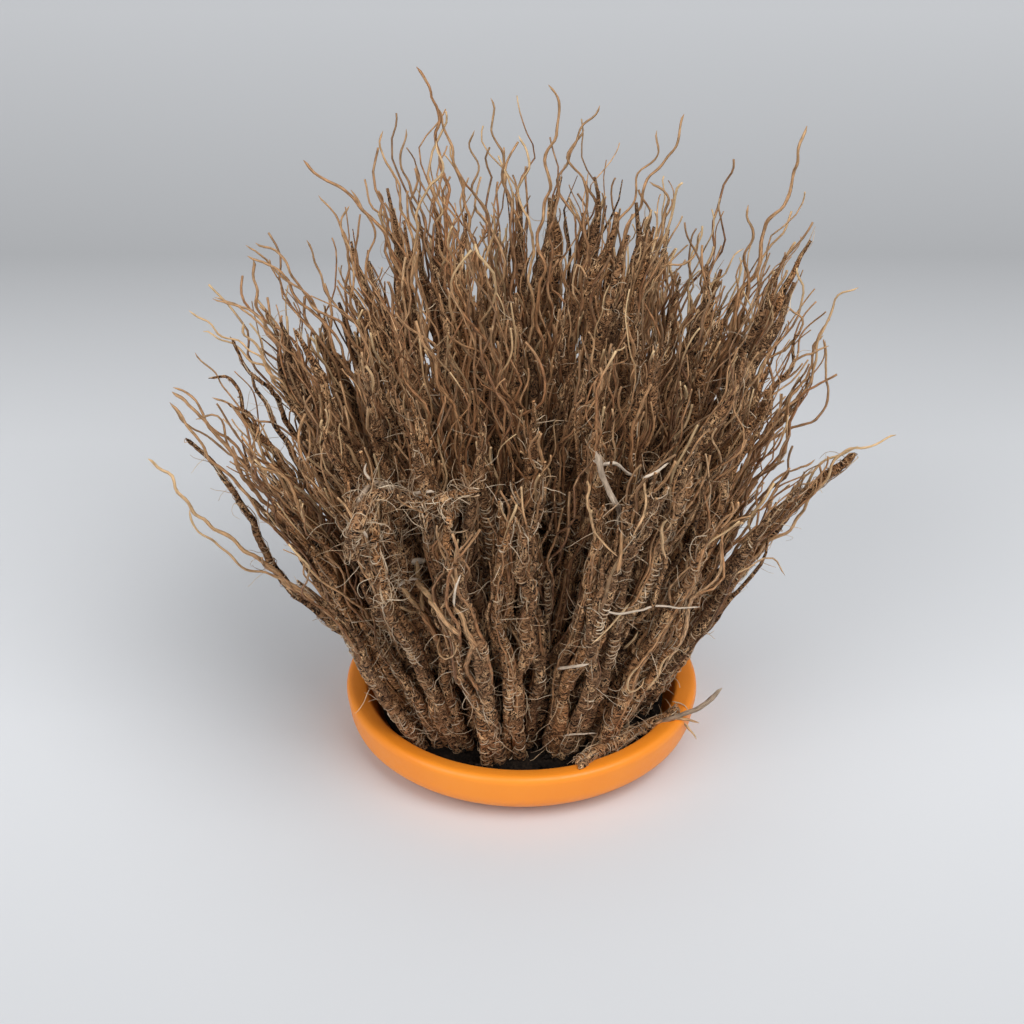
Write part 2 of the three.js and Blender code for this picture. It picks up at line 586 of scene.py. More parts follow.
def bark_group() -> Group:
    """The skin of a bare root: streaks along it, and worn patches.

    Returns:
        The group. Streak varies fast across the root, and Patch slowly.
    """
    tree, g, entry, leave = new_group(
        "bark",
        {"Vector": ("Vector", 0.0), "Scale": ("Float", 1.0)},
        {"Streak": "Float", "Patch": "Float"},
    )
    place, scale, lengthening = entry.outputs["Vector"], entry.outputs["Scale"], 0.12
    drawn_out = g.node("Mapping", {0: place, 3: (1.0, lengthening, 1.0)}).outputs[0]
    fine = {"Scale": scale, "Detail": 3.0, "Roughness": 0.6}
    streak = g.node("TexNoise", {"Vector": drawn_out, **fine})
    broad = {"Scale": 0.11, "Detail": 3.0, "Roughness": 0.65}
    patch = g.node("TexNoise", {"Vector": place, **broad})
    g.tree.links.new(streak.outputs[0], leave.inputs["Streak"])
    g.tree.links.new(patch.outputs[0], leave.inputs["Patch"])
    return tree


GROUPS: dict[str, Group] = {}


def shared(name: str) -> Group:
    """A shader group, built the first time that it is asked for.

    Args:
        name: The group's name.

    Returns:
        The group.
    """
    makers = {"felt": felt_group, "bark": bark_group}
    if name not in GROUPS:
        GROUPS[name] = makers[name]()
    return GROUPS[name]


def new_material(name: str, **shader: float) -> tuple[Material, Graph, bpy.types.Node]:
    """A material with its Principled shader.

    Args:
        name: The material's name.
        shader: Plain values for the shader's sockets, with _ for a space.

    Returns:
        The material, a graph on its tree, and the shader node.
    """
    material = bpy.data.materials.new(name)
    material.use_nodes = True
    tree = material.node_tree
    principled = tree.nodes["Principled BSDF"]
    for key, value in shader.items():
        principled.inputs[key.replace("_", " ")].default_value = value
    return material, Graph(tree), principled


def attribute(g: Graph, name: str) -> bpy.types.NodeSocket:
    """A number stored on the mesh."""
    return g.node("Attribute", attribute_name=name, attribute_type="GEOMETRY").outputs["Fac"]


def use_group(g: Graph, name: str, inputs: dict[str, Link]) -> bpy.types.Node:
    """Places a shared group.

    Args:
        g: The material's graph.
        name: The group's name.
        inputs: What each input gets: a socket to link, or a value.

    Returns:
        The group's node.
    """
    made = g.tree.nodes.new("ShaderNodeGroup")
    made.node_tree = shared(name)
    for key, value in inputs.items():
        if isinstance(value, bpy.types.NodeSocket):
            g.tree.links.new(value, made.inputs[key])
        else:
            made.inputs[key].default_value = value
    return made


@dataclass(frozen=True)
class MattedFinish:
    """The felt of fine hair over a root's core: brown lines over dark hollows. The hollows' near-black is
    painted shade between the hairs, and the tan on the hairs' crests is a painted highlight.
    """

    # Painted shade: the near-black that fills the hollows between the hairs.
    hollow: Colour = (0.017, 0.009, 0.005)
    browns: tuple[Colour, ...] = (
        (0.205, 0.100, 0.048),
        (0.345, 0.170, 0.080),
        (0.485, 0.212, 0.079),
        (0.520, 0.282, 0.140),
    )
    # light: the colour of the painted highlight on the crests of the hairs.
    light: Colour = (0.90, 0.565, 0.295)
    roughness: float = 0.9
    shine: float = 0.2
    relief: float = 0.0008

    def material(self) -> Material:
        """Builds the finish.

        Returns:
            The material.
        """
        made, g, shader = new_material(
            "matted_root", Roughness=self.roughness, Specular_IOR_Level=self.shine
        )
        place = g.node("UVMap", uv_map="grain").outputs[0]
        felt = use_group(g, "felt", {"Vector": place, "Scale": 1.0})
        hair, clump = felt.outputs["Hair"], felt.outputs["Clump"]
        brown = g.ramp(attribute(g, "tone"), self.browns)
        # The hairs' brown fades to the painted shade of the hollows between them.
        lines = g.mix(g.range(hair, 0.18, 0.8, 0.0, 1.0), (*self.hollow, 1), brown)
        # Painted highlight on the hairs' crests, stronger in some clumps than in others.
        wear_and_highlight = g.range(clump, 0.36, 0.66, 0.15, 0.9)
        lit = g.math("MULTIPLY", g.range(hair, 0.62, 0.96, 0.0, 1.0), wear_and_highlight)
        colour = g.mix(lit, lines, (*self.light, 1))
        g.tree.links.new(colour, shader.inputs["Base Color"])
        bump = g.node("Bump", {"Strength": 0.9, "Distance": self.relief, "Height": hair})
        g.tree.links.new(bump.outputs[0], shader.inputs["Normal"])
        return made


@dataclass(frozen=True)
class BareFinish:
    """A bare strand: bark with long streaks, bleached towards its cut end.

    Fields:
        name: The material's name.
        browns: The colours of its range, from dark to light.
        bleached: The colour of worn and faded parts.
        dark: How bright the dark streaks are beside the rest.
        wear_and_highlight: How strong the worn patches are.
        roughness: Its roughness, on average.
        polish: How far its roughness varies.
        bright: How bright the light streaks are.
        shine: Its specular level.
        fineness: How close its streaks lie.
        relief: How deep its streaks are, in metres.
    """

    name: str
    browns: tuple[Colour, ...]
    bleached: Colour
    dark: float = 0.34
    wear_and_highlight: float = 0.35
    roughness: float = 0.66
    polish: float = 0.12
    bright: float = 1.15
    shine: float = 0.3
    fineness: float = 2.2
    relief: float = 0.0003

    def material(self) -> Material:
        """Builds the finish.

        Returns:
            The material.
        """
        made, g, shader = new_material(self.name, Specular_IOR_Level=self.shine)
        place = g.node("UVMap", uv_map="grain").outputs[0]
        bark = use_group(g, "bark", {"Vector": place, "Scale": self.fineness})
        streak, patch = bark.outputs["Streak"], bark.outputs["Patch"]
        brown = g.ramp(attribute(g, "tone"), self.browns)
        dark, bright = ((level, level, level, 1) for level in (self.dark, self.bright))
        shade = g.mix(g.range(streak, 0.38, 0.62, 0.0, 1.0), dark, bright)
        skin = g.mix(1.0, brown, shade, "MULTIPLY")
        rubbed = g.range(patch, 0.5, 0.72, 0.0, self.wear_and_highlight)
        rubbed = g.math("MULTIPLY", rubbed, g.range(streak, 0.35, 0.6, 0.2, 1.0))
        skin = g.mix(rubbed, skin, (*self.bleached, 1))
        fading = g.range(streak, 0.3, 0.6, 0.6, 1.0)
        faded = g.math("MULTIPLY", attribute(g, "pale"), fading, clamp=True)
        skin = g.mix(faded, skin, (*self.bleached, 1))
        g.tree.links.new(skin, shader.inputs["Base Color"])
        matt, polished = self.roughness + self.polish, self.roughness - self.polish
        rough = g.range(streak, 0.3, 0.7, matt, polished)
        g.tree.links.new(rough, shader.inputs["Roughness"])
        bump = g.node("Bump", {"Strength": 0.6, "Distance": self.relief, "Height": streak})
        g.tree.links.new(bump.outputs[0], shader.inputs["Normal"])
        return made


BARE_ROOT = BareFinish(
    "bare_root",
    browns=(
        (0.125, 0.057, 0.027),
        (0.270, 0.126, 0.058),
        (0.440, 0.203, 0.086),
        (0.585, 0.312, 0.145),
        (0.710, 0.445, 0.245),
    ),
    bleached=(0.80, 0.57, 0.31),
)
ROOT_HAIR = BareFinish(
    "root_hair",
    browns=((0.25, 0.140, 0.074), (0.45, 0.270, 0.142), (0.62, 0.425, 0.250)),
    bleached=(0.86, 0.71, 0.52),
    dark=0.7,
)
DEAD_TWIG = BareFinish(
    "dead_twig",
    browns=((0.22, 0.140, 0.085), (0.38, 0.265, 0.175), (0.54, 0.415, 0.300)),
    bleached=(0.78, 0.655, 0.52),
    dark=0.55,
    wear_and_highlight=0.8,
    roughness=0.8,
)


@dataclass(frozen=True)
class PlasticFinish:
    """The dish: smooth orange plastic, softly glossy, with faint scuffs."""

    orange: Colour = (0.96, 0.300, 0.022)
    deep: Colour = (0.90, 0.24, 0.012)
    shine: float = 0.45
    glossy: float = 0.34
    scuffed: float = 0.5
    relief: float = 0.0002

    def material(self) -> Material:
        """Builds the finish.

        Returns:
            The material.
        """
        made, g, shader = new_material("dish_plastic", Specular_IOR_Level=self.shine)
        place = g.node("TexCoord").outputs["Object"]
        cloud = g.node("TexNoise", {"Vector": place, "Scale": 28.0, "Detail": 3.0}).outputs[0]
        fine = {"Scale": 420.0, "Detail": 4.0, "Roughness": 0.7}
        scuff = g.node("TexNoise", {"Vector": place, **fine}).outputs[0]
        colour = g.mix(g.range(cloud, 0.35, 0.7, 0.0, 0.35), (*self.orange, 1), (*self.deep, 1))
        g.tree.links.new(colour, shader.inputs["Base Color"])
        rough = g.range(scuff, 0.3, 0.75, self.glossy, self.scuffed)
        g.tree.links.new(rough, shader.inputs["Roughness"])
        bump = g.node("Bump", {"Strength": 0.15, "Distance": self.relief, "Height": scuff})
        g.tree.links.new(bump.outputs[0], shader.inputs["Normal"])
        return made


@dataclass(frozen=True)
class SoilFinish:
    """Dry dark soil with lighter crumbs; its near-black is partly painted shade from the roots over it.
    """

    # dark: the soil's own dark colour, deepened with painted shade.
    dark: Colour = (0.006, 0.004, 0.003)
    crumb: Colour = (0.036, 0.023, 0.015)
    shine: float = 0.15
    relief: float = 0.0008

    def material(self) -> Material:
        """Builds the finish.

        Returns:
            The material.
        """
        made, g, shader = new_material("soil", Specular_IOR_Level=self.shine)
        place = g.node("TexCoord").outputs["Object"]
        fine = {"Scale": 700.0, "Detail": 5.0, "Roughness": 0.75}
        grit = g.node("TexNoise", {"Vector": place, **fine}).outputs[0]
        lump = g.node("TexNoise", {"Vector": place, "Scale": 120.0, "Detail": 3.0}).outputs[0]
        crumbs, heaps = g.range(grit, 0.4, 0.7, 0.0, 1.0), g.range(lump, 0.3, 0.7, 0.25, 1.0)
        share = g.math("MULTIPLY", crumbs, heaps)
        colour = g.mix(share, (*self.dark, 1), (*self.crumb, 1))
        g.tree.links.new(colour, shader.inputs["Base Color"])
        g.tree.links.new(g.range(grit, 0.3, 0.7, 1.0, 0.85), shader.inputs["Roughness"])
        bump = g.node("Bump", {"Strength": 0.8, "Distance": self.relief, "Height": grit})
        g.tree.links.new(bump.outputs[0], shader.inputs["Normal"])
        return made


# ---- Dish and soil --------------------------------------------------------------------------


Spot = tuple[float, float]


def lathe(profile: list[Spot], segments: int) -> tuple[Array, Array, Array]:
    """A closed round solid from an outline that starts and ends on the axis.

    Args:
        profile: Pairs of a radius and a height, from the bottom's middle to the top's.
        segments: How many faces go round.

    Returns:
        The vertices, the face corners and how many corners each face has.
    """
    rings = profile[1:-1]
    turn = np.arange(segments) * TURN / segments
    circle = np.stack([np.cos(turn), np.sin(turn)], -1)
    points = [np.column_stack([r * circle, np.full(segments, z)]) for r, z in rings]
    points = np.concatenate([*points, [[0, 0, profile[0][1]], [0, 0, profile[-1][1]]]])
    index = np.arange(len(rings) * segments).reshape(len(rings), segments)
    turned = np.roll(index, -1, axis=1)
    quads = np.stack([index[:-1], turned[:-1], turned[1:], index[1:]], axis=-1).ravel()
    bottom = np.stack([turned[0], index[0], np.full(segments, len(points) - 2)], -1).ravel()
    top = np.stack([index[-1], turned[-1], np.full(segments, len(points) - 1)], -1).ravel()
    totals = np.concatenate([np.full(len(quads) // 4, 4), np.full(2 * segments, 3)])
    return points, np.concatenate([quads, bottom, top]), totals


def arc(start: Spot, control: Spot, end: Spot, count: int) -> list[Spot]:
    """Points on a quadratic curve, without its start.

    Args:
        start: Where it starts.
        control: Where the lines that it leaves and arrives along cross.
        end: Where it ends.
        count: How many points.

    Returns:
        The points.
    """
    a, b, c = np.array(start), np.array(control), np.array(end)
    shares = np.arange(1, count + 1) / count
    return [tuple((1 - t) ** 2 * a + 2 * t * (1 - t) * b + t * t * c) for t in shares]


@dataclass
class Dish:
    """The shallow saucer: a flat foot, a flared underside, an upright band and a broad lip."""

    rim: float = 75.0
    height: float = 24.0
    lip: float = 9.0
    foot: float = 54.0
    floor: float = 4.0
    segments: int = 192

    def profile(self) -> list[Spot]:
        """The outline, from the middle of the foot round to the middle of the floor.

        Returns:
            Pairs of a radius and a height, mm.
        """
        rim, top, foot, floor = self.rim, self.height, self.foot, self.floor
        inner = rim - self.lip
        toe, flare = (foot - 1.2, 0.0), (foot + 2.0, 0.5)
        shoulder, band = (rim - 2.6, 9.5), (rim - 1.3, 13.5)
        brow, crest = (rim - 0.2, top - 3.4), (rim - 2.6, top)
        inward, wall = (inner + 1.4, top - 0.9), (inner - 0.9, top - 3.2)
        hollow, level = (foot + 4, floor + 1), (foot, floor)
        line = [(0.0, 0.0), (foot * 0.5, 0.0), toe]
        line += arc(toe, (foot + 0.4, 0), flare, 4)
        line += arc(flare, (rim - 8, 2.4), shoulder, 9)
        line += arc(shoulder, (rim - 1.6, 11.5), band, 4)
        line += [(rim - 0.7, 17.5), brow]
        line += arc(brow, (rim, top - 0.3), crest, 8)
        line += arc(crest, (rim - 5, top - 0.1), inward, 6)
        line += arc(inward, (inner, top - 1.2), wall, 6)
        line += arc(wall, (foot + 6, floor + 3), hollow, 8)
        line += arc(hollow, (foot + 3, floor), level, 4)
        return line + [(foot * 0.5, floor), (0.0, floor)]

    def build(self, finish: PlasticFinish) -> Piece:
        """Turns the dish and dresses it.

        Args:
            finish: Its finish.

        Returns:
            The piece.
        """
        points, corners, totals = lathe(self.profile(), self.segments)
        piece = placed("saucer", mesh_of("saucer", points, corners, totals), [finish.material()])
        settled(piece, "dish_plastic", "dish")
        return piece


@dataclass
class Soil:
    """The dry soil in the dish: an uneven bed, strewn with crumbs."""

    level: float = 15.0
    wall: float = 60.6
    rings: int = 34
    segments: int = 110
    crumbs: int = 520
    crown: float = 1.6
    underside: float = 4.3
    heaps: tuple[tuple[float, float], ...] = ((23.0, 0.9), (11.0, 0.6), (5.5, 0.4), (2.9, 0.3))
    crumb_sizes: tuple[float, float] = (0.4, 1.7)

    def bed(self, rng: np.random.Generator) -> tuple[Array, Array, Array]:
        """The bed's mesh: flat below, lumpy above.

        Args:
            rng: Where the chance comes from.

        Returns:
            The vertices, the face corners and how many corners each face has.
        """
        low, wall, uneven = self.underside, self.wall, 0.83
        profile = [(0.0, low), (wall - 8, low), (wall - 2.6, 7.5)]
        radii = np.linspace(wall, 1.5, self.rings)
        profile += [(float(r), self.level + self.crown * (1 - (r / wall) ** 2)) for r in radii]
        profile.append((0.0, self.level + self.crown))
        points, corners, totals = lathe(profile, self.segments)
        x, y = points[:, 0], points[:, 1]
        heaped = np.zeros(len(points))
        for length, size in self.heaps:
            turn = rng.uniform(0, TURN)
            along = x * math.cos(turn) + y * math.sin(turn)
            aside = y * math.cos(turn) - x * math.sin(turn)
            across = np.sin(aside * TURN / (length * uneven))
            heaped += size * np.sin(along * TURN / length) * across
        points[:, 2] += np.where(points[:, 2] > self.level - 1, heaped, 0.0)
        return points, corners, totals

    def crumb(self, rng: np.random.Generator) -> tuple[Array, Array]:
        """One crumb: a lumpy eight-sided grain about the origin, of size 1.

        Args:
            rng: Where the chance comes from.

        Returns:
            Its vertices, (6, 3), and its faces, (8, 3).
        """
        points = np.zeros((6, 3))
        for axis in range(3):
            points[2 * axis, axis], points[2 * axis + 1, axis] = 1, -1
        points *= rng.uniform(0.6, 1.2, (6, 1))
        around = (0, 2, 1, 3, 0)
        above = [[a, b, 4] for a, b in zip(around, around[1:])]
        below = [[b, a, 5] for a, b in zip(around, around[1:])]
        return points, np.array(above + below)

    def build(self, finish: SoilFinish, rng: np.random.Generator) -> Piece:
        """Makes the bed and its crumbs as one piece.

        Args:
            finish: Its finish.
            rng: Where the chance comes from.

        Returns:
            The piece.
        """
        meshes = [self.bed(rng)]
        base, surface = len(meshes[0][0]), self.level + 1.4
        for _ in range(self.crumbs):
            grain, faces = self.crumb(rng)
            reach, turn = self.wall * math.sqrt(rng.uniform(0.02, 0.97)), rng.uniform(0, TURN)
            size = rng.uniform(*self.crumb_sizes)
            at = (reach * math.cos(turn), reach * math.sin(turn), surface + size * 0.3)
            meshes.append((grain * size + at, faces.ravel() + base, np.full(len(faces), 3)))
            base += len(grain)
        mesh = mesh_of("dry_soil", *(np.concatenate(part) for part in zip(*meshes)))
        piece = placed("dry_soil", mesh, [finish.material()])
        settled(piece, "soil", "soil_bed")
        return piece


# ---- Locks of root --------------------------------------------------------------------------


@dataclass
class LockAxis:
    """The middle line of one lock, read from its CAD solid.

    Fields:
        across: A polynomial for x by height.
        back: A polynomial for y by height.
        top: The solid's highest point.
        run_out: The length at its end that gives the direction past it.
        rounding: How far below the top the solid starts to round over.
    """

    across: Array
    back: Array
    top: float
    run_out: float = 12.0
    rounding: float = 3.0

    @classmethod
    def read(cls, node: str) -> "LockAxis":
        """Fits a smooth line through the solid's rings.

        Args:
            node: The CAD node's name.

        Returns:
            The lock's axis, in mm.
        """
        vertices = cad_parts[node].data.vertices
        points = np.empty(len(vertices) * 3)
        vertices.foreach_get("co", points)
        points = np.unique(np.round(points.reshape(-1, 3) / MM, 3), axis=0)
        height = points[:, 2]
        bends = 5
        return cls(
            np.polyfit(height, points[:, 0], bends),
            np.polyfit(height, points[:, 1], bends),
            float(height.max()),
        )

    def at(self, z: Array) -> Array:
        """Points of the axis; past the top it runs straight on.

        Args:
            z: Heights, (K,).

        Returns:
            Points (K, 3).
        """
        end = self.top - self.rounding
        inside = np.minimum(z, end)
        line = np.stack([np.polyval(self.across, inside), np.polyval(self.back, inside), z], -1)
        last = [
            (np.polyval(fit, end) - np.polyval(fit, end - self.run_out)) / self.run_out
            for fit in (self.across, self.back)
        ]
        past = (z - inside)[..., None]
        return line + past * np.array([last[0], last[1], 0.0])


@dataclass
class Course:
    """A line through space with directions across it, read by a mark: a height or a distance."""

    marks: Array
    line: Array

    def __post_init__(self) -> None:
        """Works out the directions across the line."""
        _, across, aside = side_frames(self.line[None])
        self.across, self.aside = across[0], aside[0]

    @classmethod
    def through(cls, route: Array, step: float = 2.0) -> "Course":
        """A smooth line through a few points, read by the distance along it.

        Args:
            route: The points, (P, 3).
            step: How far apart the line's own points lie.

        Returns:
            The course.
        """
        fewest = 8
        spans = np.linalg.norm(np.diff(route, axis=0), axis=1)
        knots = np.concatenate([[0.0], np.cumsum(spans)])
        slopes = np.gradient(route, knots, axis=0)
        marks = np.linspace(0, knots[-1], max(fewest, int(knots[-1] / step)))
        i = np.clip(np.searchsorted(knots, marks) - 1, 0, len(spans) - 1)
        t = ((marks - knots[i]) / spans[i])[:, None]
        span = spans[i][:, None]
        line = (2 * t**3 - 3 * t**2 + 1) * route[i] + (t**3 - 2 * t**2 + t) * span * slopes[i]
        line += (3 * t**2 - 2 * t**3) * route[i + 1] + (t**3 - t**2) * span * slopes[i + 1]
        return cls(marks, line)

    def on(self, marks: Array) -> tuple[Array, Array, Array]:
        """The line and the two directions across it, at some marks.

        Args:
            marks: Heights or distances.

        Returns:
            Three arrays, each of the marks' shape with 3 added.
        """
        return tuple(
            np.stack([np.interp(marks, self.marks, part[:, i]) for i in range(3)], -1)
            for part in (self.line, self.across, self.aside)
        )

    def beside(self, marks: Array, turn: Array, off: Array) -> Array:
        """Points a distance off from the line.

        Args:
            marks: Heights or distances.
            turn: The side of the line that each lies on, radians.
            off: How far off it each lies.

        Returns:
            The points, of the marks' shape with 3 added.
        """
        line, across, aside = self.on(marks)
        turn = turn[..., None]
        return line + off[..., None] * (np.cos(turn) * across + np.sin(turn) * aside)


LOBES = ((1, 0.10), (2, 0.08), (3, 0.06))
ROUGHNESS = 0.07


def lumps(rng: np.random.Generator, rings: int, sides: int) -> Array:
    """Uneven thickness of a root, about 1.

    Args:
        rng: Where the chance comes from.
        rings: How many rings it has.
        sides: How many faces go round.

    Returns:
        An array (rings, sides).
    """
    turn = np.arange(sides) * TURN / sides
    step = np.arange(rings)[:, None]
    total = np.ones((rings, sides))
    for around, size in LOBES:
        pace, phase = rng.uniform(0.5, 1.9), rng.uniform(0, TURN)
        total += size * np.sin(around * turn + pace * step + phase)
    return total + rng.uniform(-ROUGHNESS, ROUGHNESS, (rings, sides))


@dataclass
class Felt:
    """Hair laid on a matted core between two marks of its course.

    Fields:
        course: The core's middle line.
        radius: The core's radius at some marks.
        low: The mark where the hair starts.
        high: The mark where it ends.
        rng: Where the chance comes from.
        points: How many points a laid hair has.
        curl_points: How many points a loose hair has.
        sunk: How deep a laid hair's ends are sunk in the core.
        stray: How far a laid hair's points stray from its curve.
        fine: The range of the radius of most laid hairs.
        coarse: The range of the radius of the hairs in a band.
        finest: The range of the radius of loose hairs, at their start.
    """

    course: Course
    radius: Callable[[Array], Array]
    low: float
    high: float
    rng: np.random.Generator
    points: int = 6
    curl_points: int = 8
    sunk: float = 0.25
    stray: float = 0.12
    fine: tuple[float, float] = (0.13, 0.27)
    coarse: tuple[float, float] = (0.24, 0.36)
    finest: tuple[float, float] = (0.12, 0.22)

    def lay(
        self,
        sheaf: Sheaf,
        middle: Array,
        turn: Array,
        along: Array,
        around: Array,
        lift: float,
        thick: tuple[float, float],
        bleach: float = 0.0,
    ) -> None:
        """Adds hairs on the core's surface, their ends sunk in it.

        Args:
            sheaf: Where they go.
            middle: The mark of each hair's middle.
            turn: The side of the core that its middle lies on.
            along: How far it climbs, mm.
            around: How far round it goes, radians.
            lift: How far its middle may stand off.
            thick: The range of its radius.
            bleach: The least that it is bleached.
        """
        rng, n = self.rng, len(middle)
        share = np.linspace(-0.5, 0.5, self.points)
        marks = middle[:, None] + along[:, None] * share
        angle = turn[:, None] + around[:, None] * share
        raised = 1 - (2 * share) ** 2
        off = self.radius(marks) * (1.02 + 0.05 * raised) - self.sunk * (1 - raised)
        off += rng.uniform(0, lift, (n, 1)) * raised + rng.normal(0, self.stray, off.shape)
        path = self.course.beside(marks, angle, off)
        pale = bleach + (1 - bleach) * rng.random(n) ** 4
        radii = rng.uniform(*thick, (n, 1)) * (1 - 0.5 * (2 * share) ** 2)
        sheaf.add(path, radii[..., None], 3, Coat.HAIR, rng.random(n), pale[:, None])

    def cover(self, sheaf: Sheaf, count: int, outward: float, spread: float) -> None:
        """Adds hairs wound round the core and hairs that run along it.

        Args:
            sheaf: Where they go.
            count: How many.
            outward: The side of the core that they gather on, radians.
            spread: How far round from it they reach, radians.
        """
        rng, wound_share = self.rng, 0.6
        middle = rng.uniform(self.low, self.high, count)
        turn = outward + rng.uniform(-spread, spread, count)
        wound = rng.random(count) < wound_share
        sign = rng.choice([-1, 1], (2, count))
        along = np.where(wound, rng.normal(0, 1.6, count), rng.uniform(5, 15, count) * sign[0])
        around = np.where(wound, rng.uniform(1.2, 2.8, count), rng.uniform(0.15, 1.1, count))
        self.lay(sheaf, middle, turn, along, around * sign[1], 0.7, self.fine)

    def band(self, sheaf: Sheaf, start: float, outward: float) -> None:
        """Adds a run of paler hairs wound side by side round the core.

        Args:
            sheaf: Where they go.
            start: The mark that the run starts at.
            outward: The side of the core that their middles lie on, radians.
        """
        rng, n = self.rng, int(self.rng.integers(5, 12))
        middle = np.minimum(start + np.cumsum(rng.uniform(1.8, 3.2, n)), self.high)
        turn = outward + rng.normal(0, 0.35, n)
        around = rng.uniform(2.2, 3.0, n)
        along = rng.normal(0, 0.8, n)
        self.lay(sheaf, middle, turn, along, around, 0.25, self.coarse, bleach=0.3)

    def loose(self, sheaf: Sheaf, count: int) -> None:
        """Adds fine hairs that stand off the core in arcs and curls.

        Args:
            sheaf: Where they go.
            count: How many.
        """
        rng, steps = self.rng, self.curl_points
        start = rng.uniform(self.low, self.high, count)
        line, across, aside = self.course.on(start)
        turn = rng.uniform(0, TURN, (count, 1))
        out = np.cos(turn) * across + np.sin(turn) * aside
        point = line + out * (self.radius(start) * 0.8)[:, None]
        upward = [0, 0, 0.35]
        heading = unit(out + rng.normal(0, 0.5, (count, 3)) + upward)
        bend = unit(rng.normal(0, 1, (count, 3)))
        curl = rng.uniform(-0.55, 0.55, (count, 1))
        pace = rng.uniform(0.8, 2.2, (count, 1))
        path = [point]
        for _ in range(steps - 1):
            drift = rng.normal(0, self.stray, (count, 3))
            heading = unit(heading + curl * np.cross(bend, heading) + drift)
            point = point + heading * pace
            path.append(point)
        radii = np.linspace(1, 0.45, steps) * rng.uniform(*self.finest, (count, 1))
        pale = rng.uniform(0, 0.8, (count, 1))
        sheaf.add(np.stack(path, 1), radii[..., None], 3, Coat.HAIR, rng.random(count), pale)


@dataclass
class RopeSizes:
    """How the matted roots of the bundle are made.

    Fields:
        soil: The height that they leave the soil at.
        buried: How far their cores go on below it.
        ropes: How many stand in a lock.
        beside: How far they stand from the lock's axis, on average.
        fan_growth: How much that distance grows for each mm of height.
        lean: How much each leans its own way.
        sway: Pairs of a wave's length and its size, along a root.
        girth: The range of their radius.
        core_rings: Rings of a core; core_sides are its faces round.
        branch_rings: Rings of a fork; branch_sides are its faces round.
        front_strands: Bare strands on a root at the front.
        other_strands: Bare strands on any other root.
        strand_rings: Rings of a bare strand.
        bleached_share: The share of strands that are bleached towards their ends.
        outer_hairs: Hairs laid on a root at the bundle's outside.
        inner_hairs: Hairs laid on any other root.
        band_share: The share of roots with a band of wound hairs.
        front_loose: Loose hairs on a root at the front.
        other_loose: Loose hairs on any other root.
        highest: The height that no root passes.
    """

    soil: float = 15.0
    buried: float = 4.0
    ropes: int = 5
    beside: float = 5.3
    fan_growth: float = 0.0094
    lean: float = 0.028
    sway: tuple[tuple[float, float], ...] = ((95.0, 2.4), (41.0, 1.0), (17.0, 0.3))
    girth: tuple[float, float] = (2.2, 3.3)
    core_rings: int = 28
    core_sides: int = 7
    branch_rings: int = 16
    branch_sides: int = 5
    front_strands: int = 3
    other_strands: int = 6
    strand_rings: int = 23
    bleached_share: float = 0.22
    outer_hairs: int = 56
    inner_hairs: int = 22
    band_share: float = 0.35
    front_loose: int = 18
    other_loose: int = 7
    highest: float = 281.0


